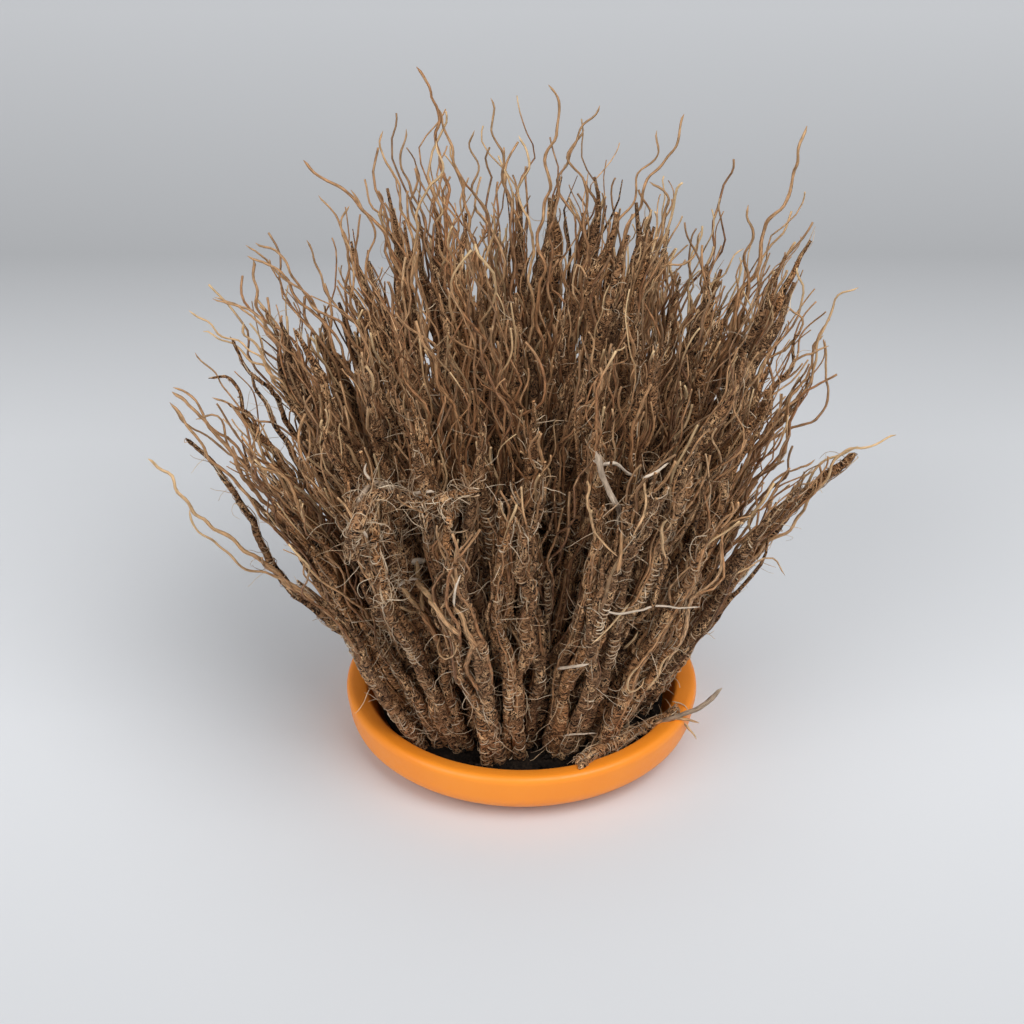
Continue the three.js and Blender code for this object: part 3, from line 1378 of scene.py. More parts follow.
@dataclass
class Rope:
    """One matted root: a felted core that forks, with strands that run on past it.

    Fields:
        sizes: What all the roots share.
        axis: The lock's middle line.
        foot: Where it stands beside the axis, (2,).
        girth: Its core's radius at the soil.
        core_top: The height that its core ends at.
        tip: The height that its longest strand ends at.
        tone: Its place in the finish's range of colours.
        outer: Whether its lock stands at the bundle's outside.
        front: Whether its lock stands at the front.
        thick: Whether its core stays thick towards its top.
        rng: Where the chance comes from.
    """

    sizes: RopeSizes
    axis: LockAxis
    foot: Array
    girth: float
    core_top: float
    tip: float
    tone: float
    outer: bool
    front: bool
    thick: bool
    rng: np.random.Generator

    def __post_init__(self) -> None:
        """Works out the rope's own line, which its core, strands and hairs share."""
        line_points, past_tip, steady_height = 90, 1.1, 60
        self.soil = self.sizes.soil
        self.tip = min(self.tip, self.sizes.highest)
        marks = np.linspace(self.soil - self.sizes.buried, self.tip * past_tip, line_points)
        rise = np.maximum(marks - self.soil, 0.0)
        line = self.axis.at(marks)
        line[:, :2] += self.foot * (1 + self.sizes.fan_growth * rise)[:, None]
        line[:, :2] += self.rng.normal(0, self.sizes.lean, 2) * rise[:, None]
        steady = 0.25 + 0.75 * smooth(0, steady_height, rise)
        line[:, :2] += wander(self.rng, 1, marks, self.sizes.sway)[0] * steady[:, None]
        self.course = Course(marks, line)
        self.felt = Felt(self.course, self.radius, self.soil, self.core_top, self.rng)

    def radius(self, z: Array) -> Array:
        """The core's radius.

        Args:
            z: Heights.

        Returns:
            A radius for each.
        """
        narrowing, point = 0.20 if self.thick else 0.52, 0.72
        share = np.clip((z - self.soil) / (self.core_top - self.soil), 0.0, 1.0)
        body = 1.0 - narrowing * smooth(0.1, 0.9, share)
        return self.girth * body * (1 - point * smooth(0.84, 1.0, share))

    def grow_core(self, sheaf: Sheaf) -> None:
        """Adds the felted core.

        Args:
            sheaf: Where it goes.
        """
        s = self.sizes
        z = np.linspace(self.soil - s.buried, self.core_top, s.core_rings)
        line, _, _ = self.course.on(z)
        radii = self.radius(z)[:, None] * lumps(self.rng, s.core_rings, s.core_sides)
        sheaf.add(line[None], radii[None], s.core_sides, Coat.MATTED, [self.tone])

    def grow_fork(self, sheaf: Sheaf) -> None:
        """Adds a branch that forks from the core part of the way up.

        Args:
            sheaf: Where it goes.
        """
        s, rng, waves = self.sizes, self.rng, ((46.0, 1.3), (17.0, 0.4))
        start = self.soil + (self.core_top - self.soil) * rng.uniform(0.15, 0.5)
        end = min(self.tip * 0.95, self.core_top * rng.uniform(0.9, 1.08))
        z = np.linspace(start, end, s.branch_rings)
        turn = rng.uniform(0, TURN) + rng.uniform(-0.004, 0.004) * (z - start)
        off = self.radius(z) * 0.75 + rng.uniform(0.02, 0.09) * (z - start)
        path = self.course.beside(z, turn, off)
        path[:, :2] += wander(rng, 1, z, waves)[0] * smooth(0, 25, z - start)[:, None]
        share = (z - start) / (end - start)
        radii = self.girth * rng.uniform(0.42, 0.66) * (1 - 0.82 * share**2)
        radii = radii[:, None] * lumps(rng, s.branch_rings, s.branch_sides)
        tone = np.clip(self.tone + rng.normal(0, 0.1), 0, 1)
        sheaf.add(path[None], radii[None], s.branch_sides, Coat.MATTED, [tone])

    def grow_strands(self, sheaf: Sheaf) -> None:
        """Adds the long bare strands, which lie on the core and run on to their cut ends.

        Args:
            sheaf: Where they go.
        """
        s, rng, shortest = self.sizes, self.rng, 40
        bends = ((74.0, 0.20), (34.0, 0.34), (17.0, 0.17))
        n = s.front_strands if self.front else s.other_strands
        start = self.soil + (self.core_top - self.soil) * rng.uniform(0.05, 0.8, n)
        end = self.tip * (0.76 + 0.24 * rng.beta(1.6, 2.2, n))
        end = np.maximum(end, start + shortest)
        end[0] = self.tip
        share = 1 - (1 - np.linspace(0, 1, s.strand_rings)) ** 1.5
        z = start[:, None] + (end - start)[:, None] * share
        twist = rng.normal(0, 0.02, (n, 1)) * (np.minimum(z, self.core_top) - start[:, None])
        free = np.maximum(z - self.core_top * 0.86, 0.0)
        off = self.radius(z) * 0.98 + rng.uniform(0.0, 0.17, (n, 1)) * free
        path = self.course.beside(z, rng.uniform(0, TURN, (n, 1)) + twist, off)
        slope = wander(rng, n, z, bends, kink=0.6)
        gain = 0.15 + smooth(-35, 15, z - self.core_top)
        steps = np.diff(z, axis=1, prepend=z[:, :1])
        path[..., :2] += np.cumsum(slope * (gain * steps)[..., None], axis=1)
        thick = 0.40 + 0.62 * rng.beta(1.3, 2.0, (n, 1))
        radii = (thick * (1 - 0.40 * share))[..., None]
        chosen = rng.random((n, 1)) < s.bleached_share
        bleach = np.where(chosen, rng.uniform(0.4, 1.0, (n, 1)), 0.18)
        pale = np.clip(1 - (end[:, None] - z) / rng.uniform(6, 60, (n, 1)), 0, 1) * bleach
        tone = np.clip(self.tone * 0.35 + rng.beta(1.1, 1.7, n) * 0.75, 0, 1)
        sheaf.add(path, radii, 4, Coat.BARE, tone, pale)

    def grow(self, sheaf: Sheaf) -> None:
        """Adds the whole rope: core, fork, strands, felt and loose hairs.

        Args:
            sheaf: Where it goes.
        """
        self.grow_core(sheaf)
        self.grow_fork(sheaf)
        self.grow_strands(sheaf)
        foot = self.foot + self.course.line[0, :2]
        outward = math.atan2(foot[1], foot[0])
        felt, sizes, rise = self.felt, self.sizes, self.core_top - self.soil
        seen_side, hidden_part = 1.9, 0.4
        if self.outer:
            felt.cover(sheaf, sizes.outer_hairs, outward, seen_side)
        else:
            felt.low = self.soil + hidden_part * rise
            felt.cover(sheaf, sizes.inner_hairs, outward, math.pi)
        if self.rng.random() < sizes.band_share:
            start = self.soil + rise * self.rng.uniform(0.05 if self.outer else 0.5, 0.7)
            felt.band(sheaf, start, outward)
        felt.loose(sheaf, sizes.front_loose if self.front else sizes.other_loose)


@dataclass
class RootLock:
    """One lock of matted roots, which stands where its CAD solid does.

    Fields:
        number: Its CAD solid's number.
        sizes: What all the roots share.
        edge: How far from the middle an outer lock stands at least.
        front: The y that a lock at the front stands before.
        front_thick, outer_thick, inner_thick: The share of its roots with thick cores.
    """

    number: int
    sizes: RopeSizes = field(default_factory=RopeSizes)
    edge: float = 41.0
    front: float = -26.0
    front_thick: float = 0.75
    outer_thick: float = 0.15
    inner_thick: float = 0.62

    @property
    def node(self) -> str:
        """The CAD node that the lock stands for."""
        return f"root_lock_{self.number:02d}"

    def build(self, finishes: list[Material]) -> Piece:
        """Grows the lock's ropes and dresses them.

        Args:
            finishes: The finishes, in the order of Coat.

        Returns:
            The piece.
        """
        rng = np.random.default_rng(SEED * 1000 + self.number)
        axis, soil = LockAxis.read(self.node), self.sizes.soil
        foot = axis.at(np.array([soil]))[0, :2]
        outer = float(np.hypot(*foot)) > self.edge
        front = bool(foot[1] < self.front)
        likely = self.front_thick if front else self.outer_thick if outer else self.inner_thick
        sheaf = Sheaf()
        first = rng.uniform(0, TURN)
        rise = (axis.top - soil) * rng.uniform(0.86, 1.0)
        for i in range(self.sizes.ropes):
            turn = first + i * TURN / self.sizes.ropes + rng.normal(0, 0.25)
            off = self.sizes.beside * rng.uniform(0.5, 1.15)
            thick = rng.random() < likely
            core = rng.uniform(0.78, 0.95) if thick else rng.uniform(0.50, 0.76)
            Rope(
                sizes=self.sizes,
                axis=axis,
                foot=np.array([math.cos(turn), math.sin(turn)]) * off,
                girth=rng.uniform(*self.sizes.girth),
                core_top=soil + rise * core,
                tip=soil + rise * (0.78 + 0.26 * rng.beta(1.4, 1.9)),
                tone=float(np.clip(rng.normal(0.45, 0.24), 0, 1)),
                outer=outer,
                front=front,
                thick=thick,
                rng=rng,
            ).grow(sheaf)
        piece = sheaf.build(f"matted_lock_{self.number:02d}", finishes, rng)
        settled(piece, "root_fibre", self.node)
        return piece


# ---- Roots placed one by one ----------------------------------------------------------------


Seen = tuple[Spot, ...]


@dataclass(frozen=True)
class PlacedRoot:
    """One root placed from a list.

    Fields:
        route: Pairs of x and z that it passes, mm.
        girth: Its radius at the start, mm.
        coat: Its finish.
        tone: Its place in the finish's range of colours.
        pale: How bleached it is at its start and its end.
        taper: How much of its radius is lost by its end.
        hairs: How many hairs are laid on it.
        loose: How many hairs stand off it.
        sway: How much it waves about its route.
    """

    route: Seen
    girth: float
    coat: Coat = Coat.BARE
    tone: float = 0.5
    pale: tuple[float, float] = (0.0, 0.2)
    taper: float = 0.4
    hairs: int = 0
    loose: int = 0
    sway: float = 0.5

    def grow(self, sheaf: Sheaf, route: Array, rng: np.random.Generator) -> None:
        """Adds the root along its route in space.

        Args:
            sheaf: Where it goes.
            route: The points that it passes, (P, 3).
            rng: Where the chance comes from.
        """
        course, waves = Course.through(route), ((31.0, 0.8), (17.0, 0.4), (8.0, 0.1))
        length, rings = course.marks[-1], len(course.marks)
        sides = 8 if self.coat is Coat.MATTED else 5 if self.girth > 1 else 4

        def body(marks: Array) -> Array:
            """Its radius at some marks."""
            return self.girth * (1 - self.taper * np.clip(marks / length, 0, 1) ** 1.5)

        sway = wander(rng, 1, course.marks, waves)[0]
        sway *= smooth(0, 12, course.marks)[:, None] * self.sway
        path = course.line + sway[:, :1] * course.across + sway[:, 1:] * course.aside
        from_end = np.minimum(course.marks, length - course.marks) / (0.9 * self.girth)
        rounded = np.sqrt(np.clip(1 - (1 - np.minimum(from_end, 1)) ** 2, 0.06, 1))
        radii = (body(course.marks) * rounded)[:, None] * lumps(rng, rings, sides)
        pale = self.pale[0] + (self.pale[1] - self.pale[0]) * (course.marks / length) ** 2
        sheaf.add(path[None], radii[None], sides, self.coat, [self.tone], pale[None])
        if self.hairs:
            felt = Felt(Course(course.marks, path), body, 0.0, length, rng)
            felt.cover(sheaf, self.hairs, 0.0, math.pi)
            felt.loose(sheaf, self.loose)


@dataclass(frozen=True)
class Wisp:
    """A long wisp at the bundle's edge: its root, on an upright plane a distance back.

    Fields:
        back: How far behind the bundle's middle the plane stands.
        root: The root.
        drawn_in: What its first point is multiplied by for its hidden start.
    """

    back: float
    root: PlacedRoot
    drawn_in: tuple[float, float, float] = (0.72, 0.72, 0.62)

    def grow(self, sheaf: Sheaf, rng: np.random.Generator) -> None:
        """Adds the wisp, its start drawn in towards the bundle's middle.

        Args:
            sheaf: Where it goes.
            rng: Where the chance comes from.
        """
        flat = np.array(self.root.route)
        route = np.stack([flat[:, 0], np.full(len(flat), self.back), flat[:, 1]], -1)
        inward = route[0] * self.drawn_in
        self.root.grow(sheaf, np.concatenate([[inward], route]), rng)


def wisp(
    back: float, *route: Spot, girth: float = 0.72, tone: float = 0.5, end: float = 0.3
) -> Wisp:
    """A bare wisp.

    Args:
        back: How far behind the bundle's middle it stands.
        route: Pairs of x and z that it passes, mm.
        girth: Its radius at the start, mm.
        tone: Its place in the finish's range of colours.
        end: How bleached its end is.

    Returns:
        The wisp.
    """
    return Wisp(back, PlacedRoot(route, girth, Coat.BARE, tone, (0.0, end), 0.45, sway=1.4))


def matted(back: float, *route: Spot, girth: float = 1.7, tone: float = 0.4) -> Wisp:
    """A matted root with a thin end.

    Args:
        back: How far behind the bundle's middle it stands.
        route: Pairs of x and z that it passes, mm.
        girth: Its radius at the start, mm.
        tone: Its place in the finish's range of colours.

    Returns:
        The wisp.
    """
    felt = {"taper": 0.7, "hairs": 26, "loose": 6}
    return Wisp(back, PlacedRoot(route, girth, Coat.MATTED, tone, sway=1.2, **felt))


CROWN_WISPS = (
    wisp(30, (-32, 249), (-33, 262), (-36, 273), (-39, 283), girth=0.9, end=0.1),
    wisp(30, (-21, 222), (-26, 241), (-29, 258), (-34, 268), girth=0.8, tone=0.6),
    wisp(25, (-6, 235), (-9, 251), (-11, 262), (-13, 272), tone=0.3),
    wisp(20, (9, 237), (11, 253), (13, 267), (11, 280), girth=0.85, tone=0.55),
    wisp(30, (16, 241), (20, 253), (26, 261), (29, 268), tone=0.35),
    wisp(40, (39, 216), (47, 233), (52, 246), (54, 254), tone=0.6),
    wisp(40, (47, 225), (54, 239), (59, 246), (64, 260), girth=0.8, tone=0.6),
    wisp(30, (54, 186), (55, 212), (56, 229), (50, 237), girth=1.0, tone=0.3),
    wisp(30, (91, 194), (96, 212), (103, 231), (108, 245), (109, 259), girth=1.0, tone=0.6),
    wisp(30, (90, 186), (90, 207), (90, 227), girth=0.9, tone=0.4),
    wisp(35, (-51, 201), (-60, 220), (-74, 233), (-86, 243), girth=0.95, tone=0.65, end=0.1),
    wisp(35, (-72, 183), (-69, 201), (-73, 216), (-80, 229), tone=0.5),
    wisp(30, (-46, 222), (-50, 237), (-54, 249), (-54, 257), tone=0.7),
    wisp(30, (-42, 229), (-46, 241), (-48, 249), (-45, 258), tone=0.3),
    wisp(20, (-77, 177), (-88, 195), (-100, 205), (-108, 215), tone=0.4),
    wisp(0, (-92, 156), (-103, 174), (-116, 184), (-130, 195), tone=0.7, end=0.7),
    wisp(0, (-95, 182), (-106, 191), (-112, 197), (-120, 201), tone=0.5),
    wisp(0, (-86, 128), (-101, 146), (-116, 156), (-122, 165), (-127, 178), tone=0.4),
    wisp(10, (103, 141), (117, 164), (119, 182), (123, 195), (132, 200), tone=0.6, end=0.7),
    wisp(10, (101, 132), (117, 141), (123, 155), (120, 177), tone=0.4),
    wisp(10, (-104, 165), (-111, 172), (-117, 177), (-127, 180), tone=0.6, end=0.8),
    wisp(10, (-89, 169), (-100, 180), (-107, 190), (-112, 194), (-121, 196), girth=0.85, tone=0.3),
    wisp(20, (-79, 177), (-88, 190), (-96, 202), (-108, 210), girth=0.9, tone=0.55),
    wisp(20, (-94, 159), (-100, 170), (-104, 186), (-106, 195), (-108, 207), girth=1.0, tone=0.5),
    wisp(20, (-71, 177), (-81, 186), (-88, 195), (-94, 207), (-104, 216), girth=0.95, tone=0.4),
    wisp(10, (-99, 162), (-107, 175), (-111, 180), (-110, 185), girth=0.9, tone=0.7, end=0.6),
    wisp(25, (-71, 183), (-79, 194), (-84, 206), (-85, 214), tone=0.35),
    wisp(25, (-65, 179), (-69, 194), (-67, 207), (-71, 219), (-69, 229), girth=0.85, tone=0.6),
    wisp(0, (-110, 124), (-118, 131), (-129, 142), (-137, 147), (-141, 155), girth=0.8, tone=0.2),
    wisp(0, (-106, 138), (-111, 147), (-117, 152), (-122, 158), tone=0.6),
    wisp(25, (-59, 192), (-61, 210), (-59, 220), (-63, 231), (-67, 235), girth=0.8, tone=0.45),
    wisp(25, (-42, 218), (-38, 233), (-32, 243), (-33, 255), girth=0.8, tone=0.5, end=0.9),
    wisp(25, (-15, 224), (-19, 235), (-16, 245), (-21, 253), (-20, 260), tone=0.25),
    wisp(25, (2, 224), (-1, 239), (2, 247), (-1, 257), tone=0.8, end=0.8),
    wisp(30, (25, 224), (24, 237), (18, 247), (23, 258), girth=0.8, tone=0.4),
    wisp(35, (48, 188), (55, 199), (64, 200), (71, 207), (72, 214), girth=0.8, tone=0.65),
    wisp(30, (72, 181), (76, 192), (83, 202), (89, 207), tone=0.5, end=0.7),
    wisp(10, (99, 169), (106, 175), (110, 186), (105, 193), girth=0.8, tone=0.4),
    wisp(10, (96, 151), (107, 162), (114, 173), (122, 175), girth=0.8, tone=0.55),
    matted(10, (-84, 118), (-91, 143), (-96, 162), (-98, 178), (-100, 191), girth=2.0, tone=0.3),
    matted(0, (-94, 119), (-103, 136), (-112, 153), (-116, 165), (-124, 167), tone=0.45),
    matted(10, (-91, 132), (-99, 150), (-110, 167), (-117, 178)),
    matted(0, (-90, 124), (-97, 142), (-104, 156), (-107, 168), girth=1.9, tone=0.25),
    matted(-5, (-90, 117), (-100, 137), (-109, 151), (-117, 158), tone=0.5),
    matted(-10, (-79, 78), (-77, 97), (-77, 118), (-76, 135), girth=2.6, tone=0.35),
    matted(0, (-74, 88), (-73, 110), (-72, 129), (-70, 146), girth=2.5, tone=0.5),
    matted(10, (89, 128), (99, 148), (107, 166), (110, 182), tone=0.45),
    wisp(0, (-109, 119), (-113, 130), (-120, 138), (-128, 152), (-139, 161), girth=0.9),
    wisp(-5, (-108, 122), (-116, 136), (-123, 150), (-130, 150), tone=0.4),
    wisp(0, (-87, 110), (-96, 129), (-102, 140), (-107, 147), tone=0.6, end=0.5),
    wisp(10, (94, 118), (103, 137), (110, 153), (116, 169), (119, 180), girth=0.85),
)
LEFT_STRAYS = (
    wisp(-10, (-80, 78), (-98, 106), (-113, 129), (-125, 152), (-138, 164), girth=1.2, tone=0.4),
    wisp(-10, (-86, 82), (-110, 116), (-123, 134), (-132, 148), (-138, 159), girth=0.9, tone=0.6),
    wisp(-20, (-78, 70), (-96, 84), (-114, 100), (-131, 117), (-147, 141), girth=1.1, tone=0.7, end=0.7),
    wisp(-20, (-80, 72), (-102, 86), (-116, 93), (-129, 107), (-133, 117), girth=0.8, tone=0.6, end=0.8),
    Wisp(
        -8,
        PlacedRoot(
            ((-92, 68), (-104, 86), (-112, 110), (-118, 121), (-124, 131), (-134, 143)),
            2.2, Coat.MATTED, 0.25, taper=0.65, hairs=70, loose=16,
        ),
    ),
    Wisp(
        -12,
        PlacedRoot(
            ((-66, 55), (-84, 82), (-99, 106), (-110, 118)),
            2.4, Coat.MATTED, 0.3, taper=0.7, hairs=80, loose=12,
        ),
    ),
)
RIGHT_STRAYS = (
    Wisp(
        -10,
        PlacedRoot(
            ((74, 63), (93, 87), (112, 116), (133, 137)),
            2.9, Coat.MATTED, 0.5, hairs=100, loose=14,
        ),
    ),
    wisp(
        -14, (78, 64), (97, 95), (109, 106), (121, 129), (130, 141), (148, 146),
        girth=0.9, tone=0.6, end=0.8,
    ),
    wisp(-6, (72, 62), (90, 92), (108, 108), (122, 131), (134, 139), girth=0.9, tone=0.3, end=0.9),
    wisp(-11, (70, 68), (88, 98), (100, 122), (116, 136), girth=0.8, tone=0.5),
)


@dataclass
class Surface:
    """What is already built, as the viewer sees it, so that roots can be laid on it.

    Fields:
        pieces: What is built.
        eye: Where it is seen from, mm.
        plane: The y of the upright plane that the routes are given on.
        nearest_over: How many points share the nearest depth among them.
        even_over: How many points the depth is then averaged over.
    """

    pieces: list[Piece]
    eye: tuple[float, float, float]
    plane: float = -90.0
    nearest_over: int = 5
    even_over: int = 7

    def press(self, seen: Seen, lift: float) -> Array:
        """Lays a route on the surface.

        Args:
            seen: Pairs of x and z where the lines of sight cross an upright plane in front.
            lift: How far the route stays off the surface.

        Returns:
            The route in space, (K, 3), mm.
        """
        flat = np.array([(x, self.plane, z) for x, z in seen])
        eye = Vector(self.eye)
        aims = [(Vector(point) - eye).normalized() for point in Course.through(flat).line]
        depths = np.array([self.depth(eye, aim) for aim in aims])
        steps, known = np.arange(len(depths)), np.isfinite(depths)
        depths = np.interp(steps, steps[known], depths[known])
        for reach, settle in ((self.nearest_over, np.min), (self.even_over, np.mean)):
            padded = np.pad(depths, reach // 2, mode="edge")
            count = len(depths)
            depths = settle([padded[i : i + count] for i in range(reach)], axis=0)
        return np.array([eye + aim * (deep - lift) for aim, deep in zip(aims, depths)])

    def depth(self, eye: Vector, aim: Vector) -> float:
        """How far the surface lies from the eye.

        Args:
            eye: Where it is seen from, mm.
            aim: The direction of sight.

        Returns:
            The distance, mm, or infinity where nothing is hit.
        """
        hits = (piece.ray_cast(eye * MM, aim) for piece in self.pieces)
        return min(((hit[1] / MM - eye).length for hit in hits if hit[0]), default=math.inf)


LAID_ROOTS = (
    PlacedRoot(
        ((-63, 136), (-61, 151), (-55, 162), (-45, 164), (-36, 157), (-35, 143)),
        2.7, Coat.MATTED, 0.35, taper=0.3, hairs=120, loose=70,
    ),
    PlacedRoot(((-36, 158), (-25, 164), (-16, 166)), 2.2, Coat.MATTED, 0.5, hairs=45, loose=20),
    PlacedRoot(((-55, 160), (-54, 141), (-50, 118)), 2.2, Coat.MATTED, 0.6, hairs=45, loose=45),
    PlacedRoot(((-47, 161), (-45, 143), (-43, 126)), 1.9, Coat.MATTED, 0.4, hairs=35, loose=45),
    PlacedRoot(((-24, 164), (-28, 147), (-25, 133)), 1.9, Coat.MATTED, 0.7, hairs=35, loose=35),
    PlacedRoot(
        ((-61, 158), (-57, 166), (-53, 169), (-49, 167), (-42, 165), (-32, 165)),
        1.0, Coat.DEAD, 0.4, (0.1, 0.7), 0.25, hairs=24, loose=12,
    ),
    PlacedRoot(((-55, 170), (-57, 174), (-56, 177)), 0.6, Coat.DEAD, 0.9, (0.4, 0.9), 0.5),
    PlacedRoot(((-47, 166), (-39, 163), (-31, 162)), 0.7, Coat.DEAD, 0.9, (0.5, 1.0), 0.5),
    PlacedRoot(((-59, 150), (-56, 144)), 0.8, Coat.DEAD, 0.9, (0.8, 0.8)),
    PlacedRoot(
        ((-39, 136), (-39, 128), (-34, 119), (-31, 112), (-24, 103)),
        1.15, Coat.BARE, 0.8, (0.3, 0.0), 0.2,
    ),
    PlacedRoot(((-41, 135), (-39, 136), (-36, 136)), 1.4, Coat.DEAD, 0.8, (0.5, 0.5), 0.2),
    PlacedRoot(((-45, 125), (-41, 118), (-38, 114)), 1.0, Coat.BARE, 0.75, (0.3, 0.0), 0.1),
    PlacedRoot(((-37, 125), (-38, 118), (-37, 114)), 0.9, Coat.BARE, 0.7, (0.2, 0.0), 0.1),
    PlacedRoot(((-46, 125), (-43, 128), (-38, 128)), 0.7, Coat.DEAD, 1.0, (0.9, 0.7)),
    PlacedRoot(((-38, 114), (-34, 106), (-31, 94)), 1.3, Coat.BARE, 0.55, (0.0, 0.0), 0.2),
    PlacedRoot(((-46, 116), (-42, 114), (-39, 114)), 0.7, Coat.BARE, 0.9, (0.5, 0.1)),
    PlacedRoot(((-23, 130), (-25, 125), (-25, 116)), 0.5, Coat.DEAD, 0.9, (0.7, 0.5), 0.2),
    PlacedRoot(((-26, 117), (-23, 112), (-20, 103), (-18, 97)), 1.1, Coat.BARE, 0.6, (0.3, 0.0), 0.2),
    PlacedRoot(((-18, 100), (-20, 94), (-21, 88), (-17, 78)), 1.2, Coat.BARE, 0.5, (0.2, 0.0), 0.2),
    PlacedRoot(((-31, 103), (-32, 97), (-29, 92), (-26, 94), (-25, 99)), 0.5, Coat.BARE, 0.8, (0.2, 0.3)),
    PlacedRoot(
        ((26, 182), (28, 174), (31, 166), (34, 158), (35, 151)),
        1.2, Coat.DEAD, 0.3, (0.3, 0.1), 0.2,
    ),
    PlacedRoot(
        ((25, 178), (28, 177), (32, 177), (35, 175), (38, 173), (41, 172)),
        0.8, Coat.DEAD, 0.9, (0.9, 0.9),
    ),
    PlacedRoot(((43, 171), (47, 173), (52, 177)), 0.6, Coat.DEAD, 0.9, (0.8, 0.9)),
    PlacedRoot(((43, 171), (44, 164), (44, 155), (40, 146)), 0.55, Coat.BARE, 0.85, (0.4, 0.1)),
    PlacedRoot(((23, 170), (24, 160), (25, 151), (29, 144), (35, 138)), 0.55, Coat.BARE, 0.8, (0.3, 0.2)),
    PlacedRoot(((53, 154), (51, 152), (51, 145), (52, 136)), 0.75, Coat.BARE, 0.9, (0.5, 0.1)),
    PlacedRoot(((36, 149), (36, 141), (35, 130)), 1.0, Coat.BARE, 0.7, (0.2, 0.0)),
    PlacedRoot(((13, 88), (20, 89), (25, 91)), 0.8, Coat.DEAD, 0.8, (0.2, 0.7), 0.2),
    PlacedRoot(
        ((30, 114), (37, 113), (44, 114), (48, 116), (53, 116), (66, 116)),
        0.5, Coat.DEAD, 0.8, (0.7, 0.7),
    ),
    PlacedRoot(((40, 118), (33, 108), (26, 99)), 0.5, Coat.BARE, 1.0, (0.7, 0.4)),
    PlacedRoot(
        ((44, 89), (42, 87), (40, 81), (42, 77), (45, 79), (46, 84)),
        0.5, Coat.BARE, 0.9, (0.4, 0.4),
    ),
    PlacedRoot(((47, 78), (51, 85), (53, 91), (59, 96)), 0.6, Coat.BARE, 0.85, (0.3, 0.5)),
    PlacedRoot(((38, 97), (41, 101), (43, 105)), 0.7, Coat.BARE, 1.0, (0.6, 0.6)),
    PlacedRoot(((16, 57), (22, 58), (29, 57)), 0.5, Coat.DEAD, 0.7, (0.4, 0.6)),
    PlacedRoot(((78, 130), (84, 134), (92, 137), (97, 130)), 0.45, Coat.BARE, 0.8, (0.3, 0.3)),
)
LOOSE_ROOTS = (
    PlacedRoot(
        ((21, 43), (26, 47), (34, 52), (43, 59), (53, 65), (60, 70)),
        2.9, Coat.MATTED, 0.75, taper=0.5, hairs=120, loose=14,
    ),
    PlacedRoot(((22, 41), (29, 49), (36, 51), (45, 61), (55, 66)), 1.7, Coat.MATTED, 0.95, hairs=40),
    PlacedRoot(((24, 46), (31, 47), (40, 57), (48, 60), (58, 68)), 1.5, Coat.MATTED, 0.6, hairs=40),
    PlacedRoot(((45, 62), (55, 64), (64, 68), (76, 79)), 1.2, Coat.DEAD, 0.2, (0.0, 0.3), 0.2),
    PlacedRoot(((50, 62), (58, 65), (68, 63)), 0.9, Coat.BARE, 0.6, (0.1, 0.3), 0.5),
    PlacedRoot(((62, 63), (64, 60), (67, 55)), 0.6, Coat.BARE, 0.8, (0.3, 0.8), 0.5),
    PlacedRoot(((57, 73), (62, 71), (64, 67)), 0.35, Coat.HAIR, 0.8, (0.5, 0.8)),
)


@dataclass
class PlacedPiece:
    """A piece made of roots placed one by one.

    Fields:
        name: The piece's name.
        slot: The name of a material slot, handed on to settled.
        nodes: The CAD nodes that it stands for.
        seed: Where its chance starts.
    """

    name: str
    slot: str
    nodes: tuple[str, ...]
    seed: int

    def stand(self, wisps: tuple[Wisp, ...], finishes: list[Material]) -> Piece:
        """Builds the piece from wisps that stand free.

        Args:
            wisps: The wisps.
            finishes: The finishes, in the order of Coat.

        Returns:
            The piece.
        """
        rng = np.random.default_rng(self.seed)
        sheaf = Sheaf()
        for one in wisps:
            one.grow(sheaf, rng)
        return self.finish(sheaf, finishes, rng)

    def lie(
        self, roots: tuple[PlacedRoot, ...], surface: Surface, finishes: list[Material]
    ) -> Piece:
        """Builds the piece from roots that lie on what is already built.

        Args:
            roots: The roots.
            surface: What they lie on.
            finishes: The finishes, in the order of Coat.

        Returns:
            The piece.
        """
        rng, standing_out = np.random.default_rng(self.seed), 0.8
        sheaf = Sheaf()
        for root in roots:
            route = surface.press(root.route, root.girth * standing_out)
            root.grow(sheaf, route, rng)
        return self.finish(sheaf, finishes, rng)

    def finish(self, sheaf: Sheaf, finishes: list[Material], rng: np.random.Generator) -> Piece:
        """Makes the mesh and settles it on the object.

        Args:
            sheaf: The piece's tubes.
            finishes: The finishes, in the order of Coat.
            rng: Where the chance comes from.

        Returns:
            The piece.
        """
        piece = sheaf.build(self.name, finishes, rng)
        settled(piece, self.slot, *self.nodes)
        return piece


# ---- Stage ----------------------------------------------------------------------------------


@dataclass(frozen=True)
class Lamp:
    """A square soft lamp that faces the middle of the bundle.

    Fields:
        name: Its name.
        place: Where it hangs, mm.
        size: Its width, mm.
        power: Its power, W.
        aim: What it faces, mm.
    """

    name: str
    place: tuple[float, float, float]
    size: float
    power: float
    aim: tuple[float, float, float] = (0.0, 0.0, 90.0)

    def hang(self) -> None:
        """Puts the lamp in the scene."""
        light = bpy.data.lights.new(self.name, "AREA")
        light.size = self.size * MM
        light.energy = self.power
        lamp = bpy.data.objects.new(self.name, light)
        lamp.location = Vector(self.place) * MM
        aim = Vector(self.aim) * MM - lamp.location
        lamp.rotation_euler = aim.to_track_quat("-Z", "Y").to_euler()
        bpy.context.scene.collection.objects.link(lamp)


